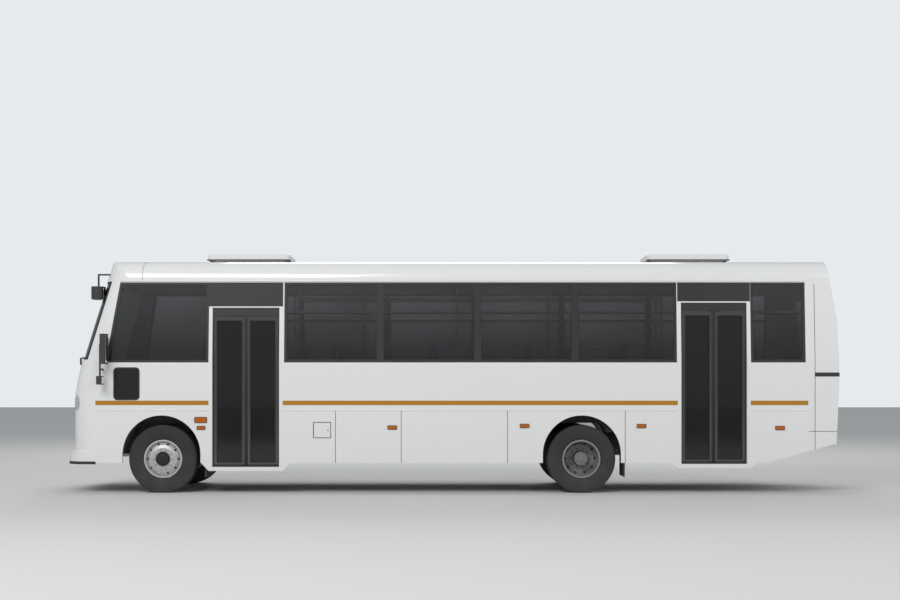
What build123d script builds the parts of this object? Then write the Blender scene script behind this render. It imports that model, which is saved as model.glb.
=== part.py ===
from build123d import *
from math import sqrt
import os

os.makedirs("parts", exist_ok=True)

# Airport passenger bus, 12 m class, front engine, two folding doors on the left side.
# X runs from the front bumper (minus) to the rear panel (plus), the doors are on the minus Y side.
# Lengths are read from the photo's middle; each finished piece is then moved along X so that the
# origin is on the road under the middle of the bus.

# Body shell
FRONT_X = -6100
REAR_X = 6000
HALF_WIDTH = 1280
WALL = 45
ROOF_TOP = 3665
CROWN_RADIUS = 7000
ROOF_EDGE_RADIUS = 300
NOSE_EDGE_RADIUS = 450
REAR_EDGE_RADIUS = 90
FRONT_BOW = 150
REAR_BOW = 30
SKIRT_Z = 470
BUMPER_Z = 448
WAIST_Z = 2023
BAND_TOP_Z = 3267
ROOF_JOINT_Z = 3300
MASK_JOINT_X = -5530
REAR_JOINT_X = 5491
BUMPER_JOINT_Z = 1048
# Set of pillars and glass back from the outer skin
FRAME_SET = 4
FRAME_DEPTH = 34
GLASS_SET = 14
GLASS = 6

# Side windows
FRAME_BAR = 40
MULLION = 105
WINDOW_PITCH = 1507
HOPPER_Z = 2804
HOPPER_BAR = 30
FIRST_MULLION_X = -1128
LEFT_WINDOW = (-2614, 3461)
REAR_SIDE_WINDOW = (4604, 5451)
FRONT_WINDOW_FOOT_X = -5372
FRONT_WINDOW_HEAD_X = -5165
FRONT_WINDOW_END_X = -3781
GUARD_Z = (2176, 2314)
GUARD_RADIUS = 12
KERB_WINDOW = (-5247, -4850, 1444, 1943)
KERB_WINDOW_RADIUS = 60
FILLER_FLAP = (-2158, -1892, 859, 1096)
FLAP_GAP = 5
FLAP_SHEET = 20

# Folding doors: front edge of the white surround, sill underside, leaf foot, leaf head, surround head
SURROUND = 56
SURROUND_DEPTH = 95
FRONT_DOOR_X = -3781
FRONT_DOOR_SILL_Z = 346
FRONT_DOOR_HEAD_Z = 2892
REAR_DOOR_X = 3473
REAR_DOOR_SILL_Z = 393
REAR_DOOR_HEAD_Z = 2971
FRONT_DOOR_WIDTH = 1147
REAR_DOOR_WIDTH = 1128
SILL_HEIGHT = 62
HEADER_HEIGHT = 126
HEADER_LIP = 19
LEAF_GAP = 6
LEAF_FACE_Y = -1222
LEAF_THICKNESS = 34
LEAF_STILE = 62
LEAF_FOOT_RAIL = 62
LEAF_HEAD_RAIL = 70
LEAF_GLASS = 6
FOLD_PIN_SET = 10
DOOR_PIN_RADIUS = 8
BARREL_RADIUS = 9
BARREL_LENGTH = 70
DOOR_RUN_CLEARANCE = 6

# Floor and steps
FLOOR_Z = 1120
FLOOR = 45
STEP_Z = 765
STEP_SHEET = 30
DRIVER_PLATFORM = (-5300, -4150)
PLATFORM_Z = 1290
FIRST_TREAD = 330
SECOND_TREAD = 290

# Running gear
FRONT_AXLE_X = -4509
WHEELBASE = 6500
TYRE_RADIUS = 527
TYRE_WIDTH = 275
RIM_RADIUS = 286
RIM_FLANGE = 11
RIM_WIDTH = 232
FLANGE_WIDTH = 12
SHOULDER = 19
FRONT_WHEEL_Y = 1045
TWIN_OUTER_Y = 1075
TWIN_INNER_Y = 757
DISC_OFFSET = 128
DISC = 14
KINGPIN_Y = 880
KINGPIN_RADIUS = 24
ARCH_HALF = 604
ARCH_CENTRE_Z = 600
HOUSE_CLEARANCE = 41
HOUSE_SHEET = 20
HOUSE_INNER_Y = 575
RAIL_Y = 430
RAIL_WIDTH = 75
RAIL_HEIGHT = 250
RAIL_TOP_Z = 890
RAIL_SHEET = 10
FRONT_RAIL_X = -5800
TOW_SOCKET = 80
TOW_BORE = 20
TOW_WALL = 25
REAR_RAIL_X = 5400
BEARER = 80
ENGINE_X = (-5300, -4350)
ENGINE_HALF = 300
ENGINE_Z = (560, 1330)
GEARBOX_X = -3760

# Roof hatches
HATCH_LENGTH = 1320
HATCH_WIDTH = 880
HATCH_HEIGHT = 105
HATCH_SHEET = 14
HATCH_LIFT = 20
FRONT_HATCH_X = -3955
REAR_HATCH_X = 3130
CURB = 30
CURB_SET = 70
SEAT_CLEARANCE = 0.3
HINGE_OFF = 16
HINGE_RADIUS = 9
HINGE_Z = 3700
HINGE_Y = 280
HINGE_LUG = 25
HINGE_PLAY = 0.5
HINGE_BARREL = 50

REAR_AXLE_X = FRONT_AXLE_X + WHEELBASE
AXLE_Z = TYRE_RADIUS
FLOOR_UNDER_Z = FLOOR_Z - FLOOR
RAIL_UNDER_Z = RAIL_TOP_Z - RAIL_HEIGHT
INNER_Y = HALF_WIDTH - WALL

# Each level of the shell: height, half width, nose, tail, front and rear corner radius
LEVELS = [
    (BUMPER_Z, HALF_WIDTH, FRONT_X, REAR_X - 55, 360, 200),
    (655, HALF_WIDTH, FRONT_X + 31, REAR_X - 50, 360, 200),
    (668, HALF_WIDTH, FRONT_X + 90, REAR_X - 48, 360, 200),
    (1459, HALF_WIDTH, FRONT_X + 84, REAR_X - 10, 360, 200),
    (1722, HALF_WIDTH, FRONT_X + 121, REAR_X, 360, 200),
    (2053, HALF_WIDTH, FRONT_X + 201, REAR_X, 370, 200),
    (2700, HALF_WIDTH - 39, FRONT_X + 392, REAR_X - 26, 390, 200),
    (3344, HALF_WIDTH - 78, FRONT_X + 588, REAR_X - 138, 420, 200),
    (3700, HALF_WIDTH - 100, FRONT_X + 696, REAR_X - 176, 430, 200),
]
SHELL_LOW_Z = 200
REACH = 7000
# Edge roundings start this far outside the flat sides, so that they meet at a crossing
EDGE_SLACK = 0.3


def block(x0, x1, y0, y1, z0, z1):
    """A plain cuboid between two corners, used for cuts and flat plates."""
    with BuildPart() as piece:
        with BuildSketch(Plane.XY.offset(z0)):
            with Locations(((x0 + x1) / 2, (y0 + y1) / 2)):
                Rectangle(x1 - x0, y1 - y0)
        extrude(amount=z1 - z0)
    return piece.part


def side_prism(points, y0, y1):
    """A closed outline in X and Z, drawn out from y0 to y1."""
    with BuildPart() as piece:
        with BuildSketch(Plane.XZ.offset(-y1)):
            with BuildLine():
                Polyline(*points, close=True)
            make_face()
        extrude(amount=y1 - y0)
    return piece.part


def roof_section(inset):
    """The cross section under the crown, its upper edges rounded, drawn along the bus."""
    low, high = LEVELS[-2], LEVELS[-1]
    lean = (high[1] - low[1]) / (high[0] - low[0])
    radius = CROWN_RADIUS - inset
    top = ROOF_TOP - inset
    side = low[1] - inset + EDGE_SLACK
    foot = side + lean * (SHELL_LOW_Z - low[0])
    head = side
    for _ in range(4):
        head_z = top - radius + sqrt(radius ** 2 - head ** 2)
        head = side + lean * (head_z - low[0])
    with BuildPart() as piece:
        with BuildSketch(Plane.YZ.offset(-REACH)):
            with BuildLine():
                ThreePointArc((-head, head_z), (0, top), (head, head_z))
                Polyline((head, head_z), (foot, SHELL_LOW_Z), (-foot, SHELL_LOW_Z), (-head, head_z))
            outline = make_face()
            fillet(outline.vertices().sort_by(Axis.Y)[-2:], ROOF_EDGE_RADIUS - inset)
        extrude(amount=2 * REACH)
    return piece.part


def end_section(inset):
    """The side view of the shell, rounded where nose and tail turn into the roof, drawn across it."""
    low, high = LEVELS[-2], LEVELS[-1]
    rise = high[0] - low[0]
    top = ROOF_TOP - inset + EDGE_SLACK
    nose_lean = (high[2] - low[2]) / rise
    tail_lean = (high[3] - low[3]) / rise
    nose = low[2] + inset - EDGE_SLACK
    tail = low[3] - inset + EDGE_SLACK
    down = SHELL_LOW_Z - low[0]
    up = top - low[0]
    with BuildPart() as piece:
        with BuildSketch(Plane.XZ.offset(-REACH)):
            with BuildLine():
                Polyline((nose + nose_lean * down, SHELL_LOW_Z), (nose + nose_lean * up, top),
                         (tail + tail_lean * up, top), (REACH, low[0]), (REACH, SHELL_LOW_Z), close=True)
            outline = make_face()
            corners = outline.vertices().sort_by(Axis.Y)[-2:].sort_by(Axis.X)
            fillet(corners[0], NOSE_EDGE_RADIUS - inset)
            fillet(corners[1], REAR_EDGE_RADIUS - inset / 2)
        extrude(amount=2 * REACH)
    return piece.part


def envelope(inset):
    """The closed form of the whole body, every face moved in by the inset."""
    levels = LEVELS if inset <= 0 else [(SHELL_LOW_Z,) + LEVELS[0][1:]] + LEVELS
    with BuildPart() as body:
        for z, width, nose, tail, front_radius, rear_radius in levels:
            side = width - inset
            shoulder = nose + FRONT_BOW + inset
            hip = tail - REAR_BOW - inset
            with BuildSketch(Plane.XY.offset(z)):
                with BuildLine():
                    Line((hip, -side), (shoulder, -side))
                    ThreePointArc((shoulder, -side), (nose + inset, 0), (shoulder, side))
                    Line((shoulder, side), (hip, side))
                    ThreePointArc((hip, side), (tail - inset, 0), (hip, -side))
                outline = make_face()
                corners = outline.vertices().sort_by(Axis.X)
                fillet(corners[:2], front_radius - inset)
                fillet(corners[2:], rear_radius - inset)
        loft(ruled=True)
        add(roof_section(inset), mode=Mode.INTERSECT)
        add(end_section(inset), mode=Mode.INTERSECT)
    return body.part


def layer(outer, inner):
    """The space between two insets of the shell."""
    with BuildPart() as piece:
        add(outer)
        add(inner, mode=Mode.SUBTRACT)
    return piece.part


def common(first, second):
    """What two parts share."""
    with BuildPart() as piece:
        add(first)
        add(second, mode=Mode.INTERSECT)
    return piece.part


def keep(part, name):
    """Label one finished node and write it."""
    placed = Pos(-(FRONT_X + REAR_X) / 2, 0, 0) * part
    placed.label = name
    export_step(placed, f"parts/{name}.step")


outer_form = envelope(0)
inner_form = envelope(WALL)
shell = layer(outer_form, inner_form)
frame_back = envelope(FRAME_SET + FRAME_DEPTH)
frame_layer = layer(envelope(FRAME_SET), frame_back)
glass_layer = layer(envelope(GLASS_SET), envelope(GLASS_SET + GLASS))
surround_y = HALF_WIDTH - SURROUND_DEPTH
surround_layer = layer(outer_form, block(-REACH, REACH, -surround_y, surround_y, 0, REACH))

# Outlines in X and Z that part the shell into its panels
SLANT = (FRONT_WINDOW_HEAD_X - FRONT_WINDOW_FOOT_X) / (BAND_TOP_Z - WAIST_Z)


def front_edge_x(z):
    """X of the slanting front edge of the first side window."""
    return FRONT_WINDOW_FOOT_X + (z - WAIST_Z) * SLANT


PILLAR = 40
mask_outline = [
    (-REACH, 0), (MASK_JOINT_X, 0), (MASK_JOINT_X, 1830),
    (front_edge_x(WAIST_Z) - PILLAR, WAIST_Z),
    (front_edge_x(ROOF_JOINT_Z) - PILLAR, ROOF_JOINT_Z), (-REACH, ROOF_JOINT_Z),
]
side_outline = [
    (MASK_JOINT_X, SKIRT_Z), (REAR_JOINT_X, SKIRT_Z), (REAR_JOINT_X, ROOF_JOINT_Z),
    (front_edge_x(ROOF_JOINT_Z) - PILLAR, ROOF_JOINT_Z),
    (front_edge_x(WAIST_Z) - PILLAR, WAIST_Z), (MASK_JOINT_X, 1830),
]
# The tail rises behind the rear door, from the door sill to the rear moulding
tail_cut = [(4743, SKIRT_Z - 30), (4873, 478), (5880, 756), (REACH, 756), (REACH, 0), (4743, 0)]


def arch_outline(axle_x, spread):
    """Wheel arch: straight legs under a round head."""
    half = ARCH_HALF + spread
    with BuildSketch(Plane.XZ) as arch:
        with Locations((axle_x, ARCH_CENTRE_Z)):
            Circle(half)
        with Locations((axle_x, ARCH_CENTRE_Z / 2)):
            Rectangle(2 * half, ARCH_CENTRE_Z)
    return arch.sketch


def arch_prism(axle_x, spread, y0, y1):
    """The wheel arch drawn out across the bus."""
    with BuildPart() as piece:
        with BuildSketch(Plane.XZ.offset(-y1)):
            add(arch_outline(axle_x, spread))
        extrude(amount=y1 - y0)
    return piece.part


def window_outline(x0, x1, inset):
    """Rectangular window in the band; the front one leans with the windscreen."""
    z0 = WAIST_Z + inset
    z1 = BAND_TOP_Z - inset
    if x0 is None:
        lean = inset * sqrt(1 + SLANT ** 2)
        front = [(front_edge_x(z0) + lean, z0), (front_edge_x(z1) + lean, z1)]
    else:
        front = [(x0 + inset, z0), (x0 + inset, z1)]
    return [front[0], (x1 - inset, z0), (x1 - inset, z1), front[1]]


right_window = (FRONT_WINDOW_END_X + MULLION, REAR_SIDE_WINDOW[0] - MULLION)
LEFT_GROUPS = [(None, FRONT_WINDOW_END_X), LEFT_WINDOW, REAR_SIDE_WINDOW]
RIGHT_GROUPS = [(None, FRONT_WINDOW_END_X), right_window, REAR_SIDE_WINDOW]


def mullions(x0, x1):
    """Centres of the pillars between two ends, on the common pitch."""
    start = FIRST_MULLION_X if x0 is None else x0
    centres = [FIRST_MULLION_X + WINDOW_PITCH * step for step in range(-1, 4)]
    return [x for x in centres if start + MULLION < x < x1 - MULLION and x0 is not None]


def door_box(door_x, width, low, high, inset, y0, y1):
    """The door's way through the wall, inside its surround by the inset."""
    return block(door_x + inset, door_x + width - inset, y0, y1, low, high)


DOORS = {
    "front": (FRONT_DOOR_X, FRONT_DOOR_WIDTH, FRONT_DOOR_SILL_Z, FRONT_DOOR_HEAD_Z),
    "rear": (REAR_DOOR_X, REAR_DOOR_WIDTH, REAR_DOOR_SILL_Z, REAR_DOOR_HEAD_Z),
}


def side_wall(sign, groups, name):
    """One side of the body with its windows, wheel arches and doorways cut."""
    y0, y1 = sorted((0, sign * REACH))
    with BuildPart() as wall:
        add(common(shell, side_prism(side_outline, y0, y1)))
        add(side_prism(tail_cut, y0, y1), mode=Mode.SUBTRACT)
        add(window_prism(sign, groups, 0), mode=Mode.SUBTRACT)
        for axle_x in (FRONT_AXLE_X, REAR_AXLE_X):
            add(arch_prism(axle_x, 0, y0, y1), mode=Mode.SUBTRACT)
        if sign < 0:
            for door_x, width, sill_z, head_z in DOORS.values():
                add(door_box(door_x, width, 0, BAND_TOP_Z, 0, y0, y1), mode=Mode.SUBTRACT)
            add(kerb_window(), mode=Mode.SUBTRACT)
            x0, x1, z0, z1 = FILLER_FLAP
            add(block(x0, x1, -REACH, 0, z0, z1), mode=Mode.SUBTRACT)
    keep(wall.part, name)


def window_sketch(groups, inset):
    """The windows of one side, inside their edges by the inset; with one, pillars and bars are left out."""
    with BuildSketch(Plane.XZ) as sketch:
        for x0, x1 in groups:
            with BuildLine():
                Polyline(*window_outline(x0, x1, inset), close=True)
            make_face()
            if inset:
                for centre in mullions(x0, x1):
                    with Locations((centre, (WAIST_Z + BAND_TOP_Z) / 2)):
                        Rectangle(MULLION, BAND_TOP_Z - WAIST_Z, mode=Mode.SUBTRACT)
                if x0 is not None:
                    with Locations(((x0 + x1) / 2, HOPPER_Z)):
                        Rectangle(x1 - x0, HOPPER_BAR, mode=Mode.SUBTRACT)
    return sketch.sketch


def window_prism(sign, groups, inset):
    """The windows of one side drawn out through the wall."""
    with BuildPart() as prism:
        with BuildSketch(Plane.XZ):
            add(window_sketch(groups, inset))
        extrude(amount=-sign * REACH)
    return prism.part


def kerb_window():
    """The low window ahead of the front wheel, drawn through the left wall."""
    x0, x1, z0, z1 = KERB_WINDOW
    with BuildPart() as kerb:
        with BuildSketch(Plane.XZ):
            with Locations(((x0 + x1) / 2, (z0 + z1) / 2)):
                RectangleRounded(x1 - x0, z1 - z0, KERB_WINDOW_RADIUS)
        extrude(amount=REACH)
    return kerb.part


def window_frames(sign, groups, name):
    """Black frames and pillars of the window band, with the bar under the hoppers."""
    with BuildPart() as bars:
        add(window_prism(sign, groups, 0))
        add(window_prism(sign, groups, FRAME_BAR), mode=Mode.SUBTRACT)
    keep(common(frame_layer, bars.part), name)


def side_glass(sign, groups, name):
    """Tinted panes, one in each light of the frames, and the low kerb window on the door side."""
    with BuildPart() as lights:
        add(window_prism(sign, groups, FRAME_BAR))
        if sign < 0:
            add(kerb_window())
    keep(common(glass_layer, lights.part), name)


for sign, groups, side in ((-1, LEFT_GROUPS, "left"), (1, RIGHT_GROUPS, "right")):
    side_wall(sign, groups, f"side_wall_{side}")
    window_frames(sign, groups, f"window_frames_{side}")
    side_glass(sign, groups, f"side_glass_{side}")

# Guard rails inside the passenger windows, run from end to end and let into the pillars
GUARD_Y = HALF_WIDTH - FRAME_SET - FRAME_DEPTH - GUARD_RADIUS - 30
GUARD_FOOT = 20
with BuildPart() as guards:
    for sign, (x0, x1) in ((-1, LEFT_WINDOW), (-1, REAR_SIDE_WINDOW), (1, right_window),
                           (1, REAR_SIDE_WINDOW)):
        for height in GUARD_Z:
            with BuildSketch(Plane.YZ.offset(x0)):
                with Locations((sign * GUARD_Y, height)):
                    Circle(GUARD_RADIUS)
            extrude(amount=x1 - x0)
        for x in (x0, x1 - GUARD_FOOT):
            y0, y1 = sorted((sign * (GUARD_Y - GUARD_RADIUS), sign * REACH))
            add(common(frame_back, block(x, x + GUARD_FOOT, y0, y1, GUARD_Z[0] - 2 * GUARD_RADIUS,
                                         GUARD_Z[1] + 2 * GUARD_RADIUS)))

# Roof with its nose and the two hatch curbs
HATCH_TOP_Z = ROOF_TOP + HATCH_LIFT + HATCH_HEIGHT
CURB_TOP_Z = HATCH_TOP_Z - HATCH_SHEET - SEAT_CLEARANCE
CURB_LENGTH = HATCH_LENGTH - 2 * CURB_SET
CURB_WIDTH = HATCH_WIDTH - 2 * CURB_SET
HATCHES = {
    "front": (FRONT_HATCH_X, FRONT_HATCH_X + HATCH_LENGTH),
    "rear": (REAR_HATCH_X + HATCH_LENGTH, REAR_HATCH_X),
}
with BuildPart() as roof:
    add(common(shell, block(-REACH, REACH, -REACH, REACH, ROOF_JOINT_Z, REACH)))
    for free_x, hinge_x in HATCHES.values():
        with BuildSketch(Plane.XY.offset(ROOF_TOP - WALL)):
            with Locations(((free_x + hinge_x) / 2, 0)):
                RectangleRounded(CURB_LENGTH, CURB_WIDTH, CURB_SET)
        extrude(amount=CURB_TOP_Z - ROOF_TOP + WALL)
        away = 1 if hinge_x > free_x else -1
        pin_x = hinge_x + away * HINGE_OFF
        for y in (-HINGE_Y, HINGE_Y):
            add(block(pin_x - HINGE_RADIUS, pin_x + HINGE_RADIUS, y - HINGE_LUG, y + HINGE_LUG,
                      ROOF_TOP - WALL, HINGE_Z))
            with BuildSketch(Plane.XZ.offset(-y - HINGE_LUG)):
                with Locations((pin_x, HINGE_Z)):
                    Circle(HINGE_RADIUS)
            extrude(amount=2 * HINGE_LUG)
    for free_x, hinge_x in HATCHES.values():
        with BuildSketch(Plane.XY.offset(ROOF_JOINT_Z)):
            with Locations(((free_x + hinge_x) / 2, 0)):
                RectangleRounded(CURB_LENGTH - 2 * CURB, CURB_WIDTH - 2 * CURB, CURB_SET - CURB)
        extrude(amount=REACH, mode=Mode.SUBTRACT)
keep(roof.part, "roof")

for place, (free_x, hinge_x) in HATCHES.items():
    with BuildPart() as hatch:
        with BuildSketch(Plane.XY.offset(ROOF_TOP + HATCH_LIFT)):
            with Locations(((free_x + hinge_x) / 2, 0)):
                RectangleRounded(HATCH_LENGTH, HATCH_WIDTH, CURB_SET)
        extrude(amount=HATCH_HEIGHT)
        chamfer(hatch.faces().sort_by(Axis.Z)[-1].edges(), HATCH_SHEET)
        with BuildSketch(Plane.XY.offset(ROOF_TOP + HATCH_LIFT)):
            with Locations(((free_x + hinge_x) / 2, 0)):
                RectangleRounded(HATCH_LENGTH - 2 * HATCH_SHEET, HATCH_WIDTH - 2 * HATCH_SHEET,
                                 CURB_SET - HATCH_SHEET)
        extrude(amount=HATCH_HEIGHT - HATCH_SHEET, mode=Mode.SUBTRACT)
        away = 1 if hinge_x > free_x else -1
        pin_x = hinge_x + away * HINGE_OFF
        for y in (-HINGE_Y, HINGE_Y):
            for side in (-1, 1):
                barrel_y = y + side * (HINGE_LUG + HINGE_PLAY + HINGE_BARREL / 2)
                y0, y1 = barrel_y - HINGE_BARREL / 2, barrel_y + HINGE_BARREL / 2
                with BuildSketch(Plane.XZ.offset(-y1)):
                    with Locations((pin_x, HINGE_Z)):
                        Circle(HINGE_RADIUS)
                extrude(amount=HINGE_BARREL)
                x0, x1 = sorted((hinge_x - away, pin_x))
                add(block(x0, x1, y0, y1, HINGE_Z, HINGE_Z + HINGE_RADIUS))
    keep(hatch.part, f"roof_hatch_{place}")

# Front mask with the windscreen cut, its corner posts and the bumper below
SCREEN_FOOT_Z = 2070
SCREEN_HEAD_Z = 3290
SCREEN_WRAP_FOOT = 225
SCREEN_WRAP_HEAD = 215


def nose_x(z):
    """X of the nose on the centreline, between the shell's levels."""
    for low, high in zip(LEVELS, LEVELS[1:]):
        if low[0] <= z <= high[0]:
            share = (z - low[0]) / (high[0] - low[0])
            return low[2] + share * (high[2] - low[2])
    return LEVELS[0][2]


screen_outline = [
    (-REACH, SCREEN_FOOT_Z), (nose_x(SCREEN_FOOT_Z) + SCREEN_WRAP_FOOT, SCREEN_FOOT_Z),
    (nose_x(SCREEN_HEAD_Z) + SCREEN_WRAP_HEAD, SCREEN_HEAD_Z), (-REACH, SCREEN_HEAD_Z),
]
screen_prism = side_prism(screen_outline, -REACH, REACH)
LAMP_Y = 985
LAMP_Z = 1400
LAMP_WIDTH = 440
LAMP_HEIGHT = 250
GRILLE_HALF = 560
GRILLE_Z = (1130, 1330)


def lamp_prism(width, height, radius, y, z, nose):
    """A rounded lamp outline drawn back from the nose, on both sides."""
    with BuildPart() as piece:
        with BuildSketch(Plane.YZ.offset(nose)):
            with Locations((y, z), (-y, z)):
                RectangleRounded(width, height, radius)
        extrude(amount=REACH / 10)
    return piece.part


head_prism = lamp_prism(LAMP_WIDTH, LAMP_HEIGHT, 80, LAMP_Y, LAMP_Z, FRONT_X)
FOG_Y = 900
FOG_Z = 835
FOG_RADIUS = 60
grille_prism = block(FRONT_X, FRONT_X + REACH / 10, -GRILLE_HALF, GRILLE_HALF, *GRILLE_Z)

with BuildPart() as front_mask:
    add(common(shell, side_prism(mask_outline, -REACH, REACH)))
    add(block(-REACH, REACH, -REACH, REACH, 0, BUMPER_JOINT_Z), mode=Mode.SUBTRACT)
    add(screen_prism, mode=Mode.SUBTRACT)
    add(head_prism, mode=Mode.SUBTRACT)
    add(grille_prism, mode=Mode.SUBTRACT)
keep(front_mask.part, "front_mask")

TOW_Y = RAIL_Y
TOW_Z = 570
TOW_HOLE = 35
TOW_PANEL = 60
with BuildPart() as bumper:
    add(common(shell, side_prism(mask_outline, -REACH, REACH)))
    add(block(-REACH, REACH, -REACH, REACH, BUMPER_JOINT_Z, REACH), mode=Mode.SUBTRACT)
    with BuildSketch(Plane.YZ.offset(FRONT_X)):
        with Locations((TOW_Y, TOW_Z), (-TOW_Y, TOW_Z)):
            Circle(TOW_HOLE)
        with Locations((FOG_Y, FOG_Z), (-FOG_Y, FOG_Z)):
            Circle(FOG_RADIUS)
    extrude(amount=REACH / 10, mode=Mode.SUBTRACT)
    # Hairline joints round each towing hole, so that no collision hull closes the hole
    for side in (-TOW_Y, TOW_Y):
        for y in (side - TOW_PANEL, side, side + TOW_PANEL):
            add(block(-REACH, 0, y, y + SEAT_CLEARANCE, 0, REACH), mode=Mode.SUBTRACT)
        add(block(-REACH, 0, side - TOW_PANEL, side + TOW_PANEL, TOW_Z, TOW_Z + SEAT_CLEARANCE),
            mode=Mode.SUBTRACT)
keep(bumper.part, "front_bumper")

keep(common(glass_layer, screen_prism), "windscreen")
keep(common(frame_layer, head_prism), "headlamps")

SLAT = 14
SLATS = 4
with BuildPart() as slats:
    slat_pitch = (GRILLE_Z[1] - GRILLE_Z[0]) / SLATS
    for step in range(SLATS + 1):
        mid = GRILLE_Z[0] + slat_pitch * step
        low, high = max(mid - SLAT, GRILLE_Z[0]), min(mid + SLAT, GRILLE_Z[1])
        add(block(FRONT_X, FRONT_X + REACH / 10, -GRILLE_HALF, GRILLE_HALF, low, high))
    for y in (-GRILLE_HALF, -GRILLE_HALF / 3, GRILLE_HALF / 3, GRILLE_HALF):
        low, high = max(y - SLAT, -GRILLE_HALF), min(y + SLAT, GRILLE_HALF)
        add(block(FRONT_X, FRONT_X + REACH / 10, low, high, *GRILLE_Z))
keep(common(frame_layer, slats.part), "grille")

# Rear panel with its window and lamp recesses
REAR_WINDOW_HALF = 900
REAR_WINDOW_Z = (2120, 3100)
TAIL_LAMP_Y = 1040
TAIL_LAMP_Z = 1477
TAIL_LAMP_WIDTH = 160
TAIL_LAMP_HEIGHT = 320


def rear_prism(width, height, radius, y, z):
    """A rounded outline drawn through the rear panel, on both sides."""
    with BuildPart() as piece:
        with BuildSketch(Plane.YZ.offset(REAR_X - REACH / 10)):
            with Locations((y, z), (-y, z)) if y else Locations((0, z)):
                RectangleRounded(width, height, radius)
        extrude(amount=REACH / 5)
    return piece.part


rear_window_prism = rear_prism(2 * REAR_WINDOW_HALF, REAR_WINDOW_Z[1] - REAR_WINDOW_Z[0], 120,
                               0, sum(REAR_WINDOW_Z) / 2)
tail_lamp_prism = rear_prism(TAIL_LAMP_WIDTH, TAIL_LAMP_HEIGHT, 30, TAIL_LAMP_Y, TAIL_LAMP_Z)
with BuildPart() as rear_panel:
    add(common(shell, block(REAR_JOINT_X, REACH, -REACH, REACH, 0, ROOF_JOINT_Z)))
    add(side_prism(tail_cut, -REACH, REACH), mode=Mode.SUBTRACT)
    add(rear_window_prism, mode=Mode.SUBTRACT)
    add(tail_lamp_prism, mode=Mode.SUBTRACT)
keep(rear_panel.part, "rear_panel")
keep(common(glass_layer, rear_window_prism), "rear_window")
keep(common(layer(outer_form, envelope(FRAME_DEPTH)), tail_lamp_prism), "tail_lamps")

# Door surrounds, with the sill, and the dark header boxes and panels above the leaves
GUSSET = 114
GUSSET_SHEET = 18
with BuildPart() as surrounds:
    for door_x, width, sill_z, head_z in DOORS.values():
        low, high = sill_z + SILL_HEIGHT, head_z - HEADER_LIP
        add(common(surround_layer, door_box(door_x, width, SKIRT_Z, head_z, 0, -REACH, 0)))
        add(door_box(door_x, width, sill_z, SKIRT_Z, 0, -HALF_WIDTH, -HALF_WIDTH + SURROUND_DEPTH))
        add(door_box(door_x, width, low, high, SURROUND, -REACH, 0), mode=Mode.SUBTRACT)
        for x, out in ((door_x, -GUSSET), (door_x + width, GUSSET)):
            add(side_prism([(x, sill_z), (x, SKIRT_Z), (x + out, SKIRT_Z)], -HALF_WIDTH,
                           -HALF_WIDTH + GUSSET_SHEET))
        add(block(door_x, door_x + width, -REACH, 0, high, high + SEAT_CLEARANCE), mode=Mode.SUBTRACT)
with BuildPart() as sill_space:
    for door_x, width, sill_z, head_z in DOORS.values():
        add(block(door_x - GUSSET, door_x + width + GUSSET, -REACH, 0, 0, sill_z + SILL_HEIGHT))
keep(common(surrounds.part, sill_space.part), "door_sills")
keep(layer(surrounds.part, sill_space.part), "door_surrounds")

with BuildPart() as headers:
    for door_x, width, sill_z, head_z in DOORS.values():
        high = head_z - HEADER_LIP
        add(common(surround_layer, door_box(door_x, width, high - HEADER_HEIGHT, high, SURROUND, -REACH, 0)))
        add(common(frame_layer, door_box(door_x, width, head_z, BAND_TOP_Z, 0, -REACH, 0)))
keep(headers.part, "door_headers")


def door_leaf(x0, x1, low, high, pin_x, name):
    """One leaf: stiles and rails round the pane, the stile at the pin side rounded about the pin."""
    half = LEAF_THICKNESS / 2
    middle = LEAF_FACE_Y + half
    pane = (x0 + LEAF_STILE, x1 - LEAF_STILE, low + LEAF_FOOT_RAIL, high - LEAF_HEAD_RAIL)
    with BuildPart() as leaf:
        with BuildSketch(Plane.XY.offset(low)):
            with Locations(((x0 + x1) / 2, middle)):
                Rectangle(x1 - x0 - LEAF_THICKNESS, LEAF_THICKNESS)
            with Locations((pin_x, middle)):
                Circle(half)
            with Locations((x0 + x1 - pin_x, middle)):
                Rectangle(LEAF_THICKNESS, LEAF_THICKNESS)
        extrude(amount=high - low)
        add(block(pane[0], pane[1], -REACH, 0, pane[2], pane[3]), mode=Mode.SUBTRACT)
    glass = block(pane[0], pane[1], middle - LEAF_GLASS / 2, middle + LEAF_GLASS / 2, pane[2], pane[3])
    keep(glass, f"{name}_glass")
    return leaf.part


def pivot_pins(pin_x, low, high):
    """Pins at the head and foot of the leaf that turns in the surround."""
    reach = DOOR_RUN_CLEARANCE - SEAT_CLEARANCE
    with BuildPart() as pins:
        for z in (low - reach, high):
            with BuildSketch(Plane.XY.offset(z)):
                with Locations((pin_x, LEAF_FACE_Y + LEAF_THICKNESS / 2)):
                    Circle(DOOR_PIN_RADIUS)
            extrude(amount=reach)
    return pins.part


def fold_barrels(fold_x, side, low, high):
    """Hinge barrels on the inner face; each leaf has three, one above the other's."""
    inner = LEAF_FACE_Y + LEAF_THICKNESS
    start = 0 if side < 0 else BARREL_LENGTH + SEAT_CLEARANCE
    with BuildPart() as barrels:
        for share in (0.08, 0.5, 0.92):
            z = low + share * (high - low) - BARREL_LENGTH + start
            with BuildSketch(Plane.XY.offset(z)):
                with Locations((fold_x, inner + FOLD_PIN_SET)):
                    Circle(BARREL_RADIUS)
                with Locations((fold_x + side * BARREL_LENGTH / 4, inner + FOLD_PIN_SET / 2)):
                    Rectangle(BARREL_LENGTH / 2, FOLD_PIN_SET)
            extrude(amount=BARREL_LENGTH)
    return barrels.part


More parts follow.
